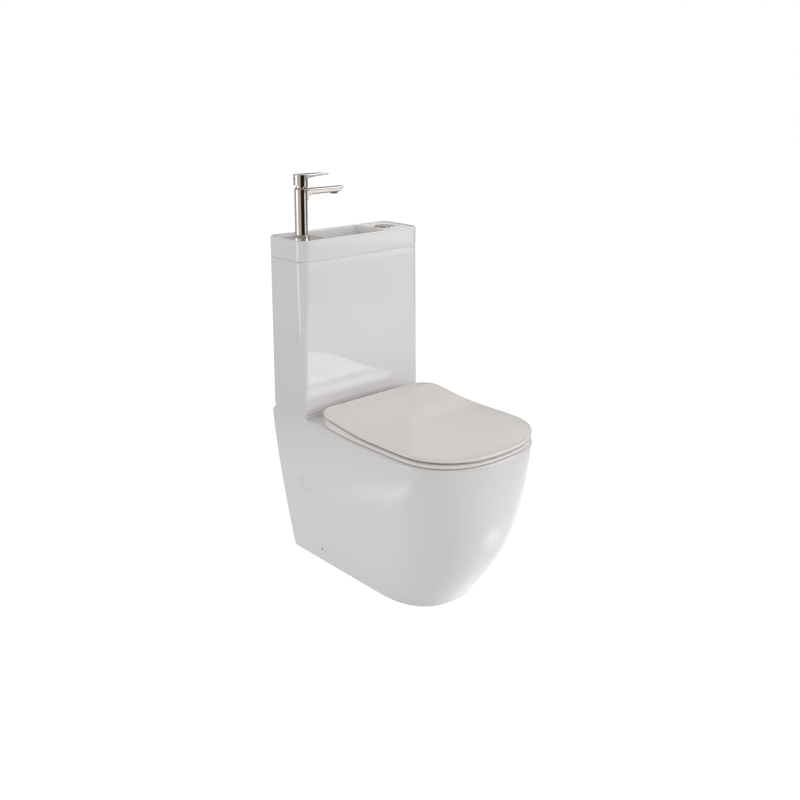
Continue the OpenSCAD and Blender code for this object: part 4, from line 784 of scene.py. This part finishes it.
tap = {
    "column": 15, "flange": 20, "top": 111.5, "spout": 111, "reach": 122, "width": 25, "depth": 13.5,
    "aerator": 99, "headR": 16.5, "handle": 144.5, "tilt": 125, "slant": 7.5,
    # radii of the bores, and half the width of the stem's socket
    "cartridgeHole": 11.66, "coreHole": 5, "waterHole": 3.4, "aeratorHole": 7.66, "studHole": 4.06,
    "tailHole": 5.06, "screwHole": 2.06, "socketHalf": 3.56,
    # the flange's foot and the fillet above it: radius and height
    "foot": [(0, 0), (19.6, 0), (20, .3), (20, 3.4)],
    "fillet": [(16.6, 4.8), (15.5, 5.1), (15.1, 5.7), (15, 6.6)],
    # the spout's root: distance, share of the width, how far its fillet reaches down, corner
    "root": [[0, .96, 14.5, 3.5], [12.5, .98, 12.5, 3.5], [14.5, 1, 7, 3.5], [17, 1, 3.5, 3.5],
             [21, 1, 1.1, 3.5], [27, 1, 0, 3.5]],
    # its tip: distance from the end, share of the width, loss of depth, corner
    "tip": [[18, .9, 0, 3.5], [11, .88, 2, 3.2], [5, .86, 6.5, 2.4], [1, .83, 10, 1.4], [0, .8, 11, .9]],
    # the lever: distance, share of the width, underside and top below the handle's top, corner
    "lever": [[0, .97, 9, 0, 3], [14, .95, 9, 0, 3], [17, .93, 8.2, 0, 3], [24, .88, 7.4, 0, 3],
              [34, .82, 6.6, 0, 2.6], [54, .72, 5.6, .2, 2.2], [64, .68, 4.9, .7, 1.8],
              [72, .62, 4.5, 1.5, 1.3], [76.5, .52, 4.2, 2.3, .8], [78, .44, 3.9, 2.8, .4]],
}
tapPlace = Matrix.Translation((tapX, fwd(middleD), basinDeck + 0.2))


def barSection(x, w, low, high, r):
    # each rounding has a short straight piece at both ends, which keeps the flats flat in the shading
    pts, flat = [], min(0.5, (high - low - 2 * r) / 3)
    for q in range(4):
        cy = (1 if q < 2 else -1) * (w / 2 - r)
        cz = low + r if q in (0, 3) else high - r
        first, last = 270 + 90 * q, 360 + 90 * q
        arc = [(cy + r * cosd(a), cz + r * sind(a)) for a in spread(first, last, 8)]
        arc.insert(0, (arc[0][0] + flat * sind(first), arc[0][1] - flat * cosd(first)))
        arc.append((arc[-1][0] - flat * sind(last), arc[-1][1] + flat * cosd(last)))
        pts += [(x, y, z) for y, z in arc]
    return pts


def along(table, step):
    # fills a table of sections with smooth in-between rows
    rows = []
    for a, b in zip(table, table[1:]):
        n = max(1, int(abs(b[0] - a[0]) / step))
        rows += [[mix(p, q, i / n) for p, q in zip(a, b)] for i in range(n)]
    return rows + [list(table[-1])]


def bore(r, low, high, x=0, steps=64):
    return turned("cutter", [(r, low), (r, high)], tapPlace @ Matrix.Translation((x, 0, 0)), steps)


def crossBore(r, x0, x1, z):
    loop = [(r * cosd(a), z + r * sind(a)) for a in spread(0, 360, 24)[:-1]]
    return loft("cutter", [[(x, *point) for point in loop] for x in (x0, x1)], tapPlace)


def prism(name, x0, x1, y, z0, z1, place):
    outline = ((x0, -y), (x1, -y), (x1, y), (x0, y))
    return newMesh(name, [(*point, z) for z in (z0, z1) for point in outline], blockFaces, place)


def buildTapBody():
    top, r, flange = tap["top"], tap["column"], tap["flange"]
    profile = tap["foot"] + [(flange - 1.4 * i, 4.8 - 1.4 * k) for i, k in quarter(10, 5)]
    profile += tap["fillet"] + [(r, z) for z in spread(12, top - 1.2, 10)]
    profile += [(r - (1 - cosd(a)), top - 1 + sind(a)) for a in spread(15, 90, 4)] + [(0, top)]
    body = turned("tapBody", profile, tapPlace, 96)
    h, depth, w, reach = tap["spout"], tap["depth"], tap["width"], tap["reach"]
    rings = [barSection(x, w * k, h - depth - low, h, c) for x, k, low, c in along(tap["root"], 2)]
    tip = along([[reach - x, k, depth - loss, c] for x, k, loss, c in tap["tip"]], 2)
    rings += [barSection(x, w * k, h - low, h - .6, c) for x, k, low, c in tip]
    spout = loft("spout", rings, tapPlace)
    cut = [bore(tap["cartridgeHole"], top - 32, top + 8), bore(tap["coreHole"], 28, top - 22, steps=32),
           crossBore(tap["waterHole"], 9.6, tap["aerator"], h - 7),
           bore(tap["aeratorHole"], h - depth - 5, h - 4, tap["aerator"]),
           bore(tap["studHole"], -1, 15, -8, 32), bore(tap["tailHole"], -1, 33, 6, 32)]
    finishPiece(shape(body, [spout], cut), "tapColumn", tapMetal, "base", ["tap_body"], 40)


def buildHandle():
    top, head, low, hole = tap["handle"], tap["headR"], tap["spout"] + 2, tap["socketHalf"]
    profile = [(0, low), (head, low)] + [(head, z) for z in spread(low + 3, top - 2, 8)]
    profile += [(head - 1.2 * i, top - 1.2 * k) for i, k in quarter(0, 5)] + [(0, top)]
    body = turned("handle", profile, tapPlace, 96)
    rings = [barSection(x, 2 * head * k, top - under, top - over, c)
             for x, k, under, over, c in along(tap["lever"], 2)]
    lever = loft("lever", rings, tapPlace)
    # the head's foot slants up to the back, which lets it tilt
    lean = Matrix.Translation((head, 0, low)) @ Matrix.Rotation(math.atan(tap["slant"] / (2 * head)), 4, "Y")
    foot = prism("foot", -3 * head, 5, 30, -20, 0, tapPlace @ lean)
    socket, hollow = top - 6, tap["tilt"] + 5.5
    slot = prism("slot", -hole, hole, hole, hollow - 1, socket, tapPlace)
    screwHole = crossBore(tap["screwHole"], -head - 1, -1, socket - 4)
    shape(body, [lever], [bore(head - 2, low - 1, hollow, steps=96), slot, screwHole, foot])
    finishPiece(body, "leverHandle", tapMetal, "tap_lever_unit", ["tap_handle"], 40)


buildTapBody()
buildHandle()


spring = {"apart": 8, "low": 789.9, "high": 815.8, "r": 4.6, "wire": 0.6, "turns": 5, "perTurn": 24,
          "travel": 7}


def buildSpring(name, side, node):
    # a coil on the housing's floor, under its half of the button
    r, wire, low, perTurn = spring["r"], spring["wire"], spring["low"], spring["perTurn"]
    length, steps = spring["high"] - low, spring["turns"] * perTurn
    rise = (length - 2 * wire) / steps
    lean = math.degrees(math.atan(rise * perTurn / (2 * math.pi * r)))
    rings = []
    for k in range(steps + 1):
        ca, sa, loop = cosd(360 / perTurn * k), sind(360 / perTurn * k), []
        for b in spread(0, 360, 10)[:-1]:
            out, up = r + wire * cosd(b), wire * sind(b)
            loop.append((out * ca - up * sind(lean) * sa, out * sa + up * sind(lean) * ca,
                         wire + rise * k - up * cosd(lean)))
        rings.append(loop)
    x, y = buttonX, fwd(middleD + side * spring["apart"])
    coil = loft(name, rings, Matrix.Translation((x, y, low)))
    finishPiece(coil, name, steel, "base", [node], 60)
    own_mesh(coil)


buildSpring("fullSpring", 1, "spring_full")
buildSpring("halfSpring", -1, "spring_half")


def dressNodes():
    # the other nodes keep their solids and get the finish that the record names
    slots = {part["node"]: part["material_slot"] for part in frame["record"]["subparts"]}
    done = 0
    for name, node in frame["nodes"].items():
        if node.hide_render:
            continue
        for place in node.material_slots:
            place.link = "OBJECT"
            place.material = nodeFinish.get(name) or slotFinish[slots[name]]
        done += 1
    print("dressed", done, "nodes")


dressNodes()


studio = {
    "floor": (0.74, 0.74, 0.74), "floorSize": 14000, "floorGlow": 0.7,
    # in metres from the object: where the glow starts and ends to fade, and its strength there
    "floorFade": (0.45, 1.4, 1, 0),
    # soft bright places on the floor that only gloss shows: x, y, turn, half length, half width, strength
    "floorSheen": [(-0.52, 0.13, 55, 0.42, 0.11, 1.15), (0.17, -0.38, 20, 0.16, 0.12, 1.1)],
    # the air, by the sine of the angle above the horizon
    "air": [(0.0, 1.0, 1.0, 1.0), (0.12, 1.0, 1.0, 1.0), (0.26, 0.55, 0.545, 0.54),
            (0.6, 0.48, 0.48, 0.48), (1.0, 0.46, 0.46, 0.46)],
    # a glowing ring round the set, in dark bands like flags and pale and bright bands like cards, which
    # lights nothing and only gloss and metal show, so it gives painted reflections; by the angle from +X in
    # degrees: the low part, then the part above "cardsTurn"
    "cardsR": 2600, "cardsHigh": 3000, "cardsSides": 120,
    "lowCards": [
        (0, 0.3, 0.3, 0.31), (20, 0.27, 0.26, 0.255), (48, 0.26, 0.25, 0.245), (80, 0.52, 0.51, 0.5),
        (110, 0.58, 0.57, 0.56), (143, 0.66, 0.65, 0.64), (147, 2.6, 2.6, 2.6), (166, 2.6, 2.6, 2.6),
        (171, 0.7, 0.66, 0.62), (212, 0.74, 0.68, 0.62), (224, 0.66, 0.6, 0.55),
        (229, 0.02, 0.02, 0.012), (296, 0.02, 0.02, 0.012), (302, 0.5, 0.51, 0.53),
        (319, 0.66, 0.66, 0.67), (332, 0.3, 0.3, 0.31), (346, 0.08, 0.08, 0.08)],
    "highCards": [
        (0, 0.6, 0.6, 0.6), (20, 0.95, 0.93, 0.91), (60, 0.95, 0.92, 0.89), (100, 0.6, 0.6, 0.6),
        (230, 0.5, 0.49, 0.48)],
    # heights in metres and shares: the low cards give way to the high ones, and these get weaker
    "cardsTurn": (1.25, 1.4, 0, 1), "cardsFade": (1.72, 2.02, 1, 0.2),
    # the card that the lid passes on to the cistern's front: place, aim, width, height, strength
    "glint": ((1.41, -1.84, 0.98), (0, 0.1, 0.42), 720, 500, 6.0),
    # name, place, aim, size, power, and whether it lights more than the gloss
    "lamps": [
        ("soft", (1.76, -2.33, 1.12), (0, 0.1, 0.42), (0.85, 0.62), 12.5, True),
        ("front", (1.1, -2.9, 2.3), (0, 0, 0.7), (1.8, 1.8), 17, True),
        ("left", (-2.7, 1.0, 1.7), (0, 0, 0.6), (1.6, 1.6), 11, True),
        ("sheen", (1.61, -1.85, 0.52), (0, 0, 0.87), (1.1, 0.3), 0.85, False),
        ("edge", (1.84, -0.8, 2.48), (0, 0, 0.8), (0.95, 1.2), 15, False),
    ],
}


# small steps in node trees
def remap(tree, value, settings, where, **more):
    node = addNode(tree, "MapRange", where, **more)
    for socket, number in zip(("From Min", "From Max", "To Min", "To Max"), settings):
        node.inputs[socket].default_value = number
    tree.links.new(value, node.inputs["Value"])
    return node.outputs[0]


def glowing(tree, strength, where):
    node = addNode(tree, "Emission", where)
    tree.links.new(strength, node.inputs["Strength"])
    return node


def together(tree, a, b, where):
    node = addNode(tree, "AddShader", where)
    tree.links.new(a, node.inputs[0])
    tree.links.new(b, node.inputs[1])
    return node.outputs[0]


def rampOf(tree, stops, where):
    ramp = addNode(tree, "ValToRGB", where)
    marks = ramp.color_ramp.elements
    for i, (at, *tone) in enumerate(stops):
        mark = marks[i] if i < 2 else marks.new(at)
        mark.position, mark.color = at, rgb(*tone)
    return ramp


def sheet(name, x, y):
    return newMesh(name, [(-x, -y, 0), (x, -y, 0), (x, y, 0), (-x, y, 0)], [(0, 1, 2, 3)])


def aimAt(thing, place, aim):
    thing.location = place
    thing.rotation_euler = (Vector(aim) - Vector(place)).to_track_quat("-Z", "Y").to_euler()


def showInGloss(thing, mat):
    thing.data.materials.append(mat)
    for kind in ("camera", "diffuse", "shadow", "volume_scatter"):
        setattr(thing, "visible_" + kind, False)


def buildFloor():
    floor = sheet("floor", studio["floorSize"], studio["floorSize"])
    mat, tree, out = emptyMaterial("paleFloor")
    link = tree.links.new
    cloth = addNode(tree, "BsdfDiffuse", (0, 0), Color=rgb(*studio["floor"]))
    seen = addNode(tree, "LightPath", (-600, 200)).outputs
    # camera and glass see the floor white, and gloss sees the white fade with the distance
    at = addNode(tree, "TexCoord", (-1100, 0)).outputs["Object"]
    far = addNode(tree, "VectorMath", (-900, 0), operation="LENGTH")
    link(at, far.inputs[0])
    near = remap(tree, far.outputs["Value"], studio["floorFade"], (-700, 0), interpolation_type="SMOOTHSTEP")
    gloss = calculate(tree, (-500, 0), "MULTIPLY", near, seen["Is Glossy Ray"])
    first = calculate(tree, (-400, 200), "MAXIMUM", seen["Is Camera Ray"], gloss)
    either = calculate(tree, (-200, 200), "MAXIMUM", first, seen["Is Transmission Ray"])
    glow = glowing(tree, calculate(tree, (-50, 200), "MULTIPLY", either, studio["floorGlow"]), (0, -200))
    last = together(tree, cloth.outputs[0], glow.outputs[0], (300, 0))
    for x, y, turn, longR, shortR, strength in studio["floorSheen"]:
        spot = addNode(tree, "Mapping", (-700, -500), vector_type="TEXTURE", Location=(x, y, 0),
                       Rotation=(0, 0, math.radians(turn)), Scale=(longR, shortR, 1))
        link(at, spot.inputs["Vector"])
        fade = addNode(tree, "TexGradient", (-500, -500), gradient_type="QUADRATIC_SPHERE")
        link(spot.outputs[0], fade.inputs["Vector"])
        shown = calculate(tree, (-300, -500), "MULTIPLY", fade.outputs["Fac"], seen["Is Glossy Ray"])
        sheen = glowing(tree, calculate(tree, (-100, -500), "MULTIPLY", shown, strength), (100, -500))
        last = together(tree, last, sheen.outputs[0], (400, -300))
    link(last, out.inputs["Surface"])
    floor.data.materials.append(mat)


def buildCards():
    n = studio["cardsSides"]
    rings = [circle(studio["cardsR"], z, n) for z in (1, studio["cardsHigh"])]
    faces = [(i, (i + 1) % n, n + (i + 1) % n, n + i) for i in range(n)]
    # the ring glows and is seen only in gloss: painted reflections of flags and cards
    cards = newMesh("cards", rings[0] + rings[1], faces)
    mat, tree, out = emptyMaterial("glowingCardReflections")
    link = tree.links.new
    at = addNode(tree, "TexCoord", (-600, 0)).outputs["Object"]
    turn = addNode(tree, "TexGradient", (-400, 0), gradient_type="RADIAL")
    link(at, turn.inputs["Vector"])
    split = addNode(tree, "SeparateXYZ", (-400, -300))
    link(at, split.inputs[0])
    tone = addNode(tree, "MixRGB", (0, 0))
    link(remap(tree, split.outputs["Z"], studio["cardsTurn"], (-200, -300)), tone.inputs["Fac"])
    for part, socket in (("lowCards", "Color1"), ("highCards", "Color2")):
        # the gradient starts at -X
        stops = sorted(((a + 180) % 360 / 360, *shade) for a, *shade in studio[part])
        ramp = rampOf(tree, stops, (-200, 0))
        link(turn.outputs["Fac"], ramp.inputs["Fac"])
        link(ramp.outputs["Color"], tone.inputs[socket])
    glow = glowing(tree, remap(tree, split.outputs["Z"], studio["cardsFade"], (0, -300)), (200, 0))
    link(tone.outputs["Color"], glow.inputs["Color"])
    link(glow.outputs[0], out.inputs["Surface"])
    showInGloss(cards, mat)


def buildGlint():
    # only gloss that is itself seen in gloss shows this card
    place, aim, wide, high, strength = studio["glint"]
    card = sheet("glintCard", wide / 2, high / 2)
    aimAt(card, place, aim)
    mat, tree, out = emptyMaterial("glintTone")
    link = tree.links.new
    seen = addNode(tree, "LightPath", (-400, 0)).outputs
    both = addNode(tree, "MixShader", (200, 0))
    link(calculate(tree, (-200, 0), "GREATER_THAN", seen["Ray Depth"], 1.5), both.inputs[0])
    link(addNode(tree, "BsdfTransparent", (0, 100)).outputs[0], both.inputs[1])
    link(addNode(tree, "Emission", (0, -100), Strength=strength).outputs[0], both.inputs[2])
    link(both.outputs[0], out.inputs["Surface"])
    showInGloss(card, mat)


def buildAir():
    world = bpy.data.worlds.new("studioAir")
    bpy.context.scene.world = world
    world.use_nodes = True
    tree = world.node_tree
    tree.nodes.clear()
    link = tree.links.new
    out = addNode(tree, "OutputWorld", (400, 0))
    air = addNode(tree, "Background", (200, 0))
    split = addNode(tree, "SeparateXYZ", (-400, 0))
    link(addNode(tree, "TexCoord", (-600, 0)).outputs["Generated"], split.inputs[0])
    ramp = rampOf(tree, studio["air"], (-150, 0))
    link(split.outputs["Z"], ramp.inputs["Fac"])
    # the camera sees plain white
    tone = addNode(tree, "MixRGB", (50, 0), Color2=rgb(1, 1, 1))
    link(addNode(tree, "LightPath", (-150, 300)).outputs["Is Camera Ray"], tone.inputs["Fac"])
    link(ramp.outputs["Color"], tone.inputs["Color1"])
    link(tone.outputs["Color"], air.inputs["Color"])
    link(air.outputs[0], out.inputs["Surface"])


def buildLamps():
    for name, place, aim, lampSize, power, lights in studio["lamps"]:
        lamp = bpy.data.lights.new(name, "AREA")
        lamp.shape, lamp.energy = "RECTANGLE", power
        lamp.size, lamp.size_y = lampSize
        thing = bpy.data.objects.new(name, lamp)
        bpy.context.collection.objects.link(thing)
        aimAt(thing, place, aim)
        thing.visible_diffuse = lights


buildFloor()
buildCards()
buildGlint()
buildAir()
buildLamps()
bpy.context.scene.view_settings.view_transform = "Standard"
print("studio lit")
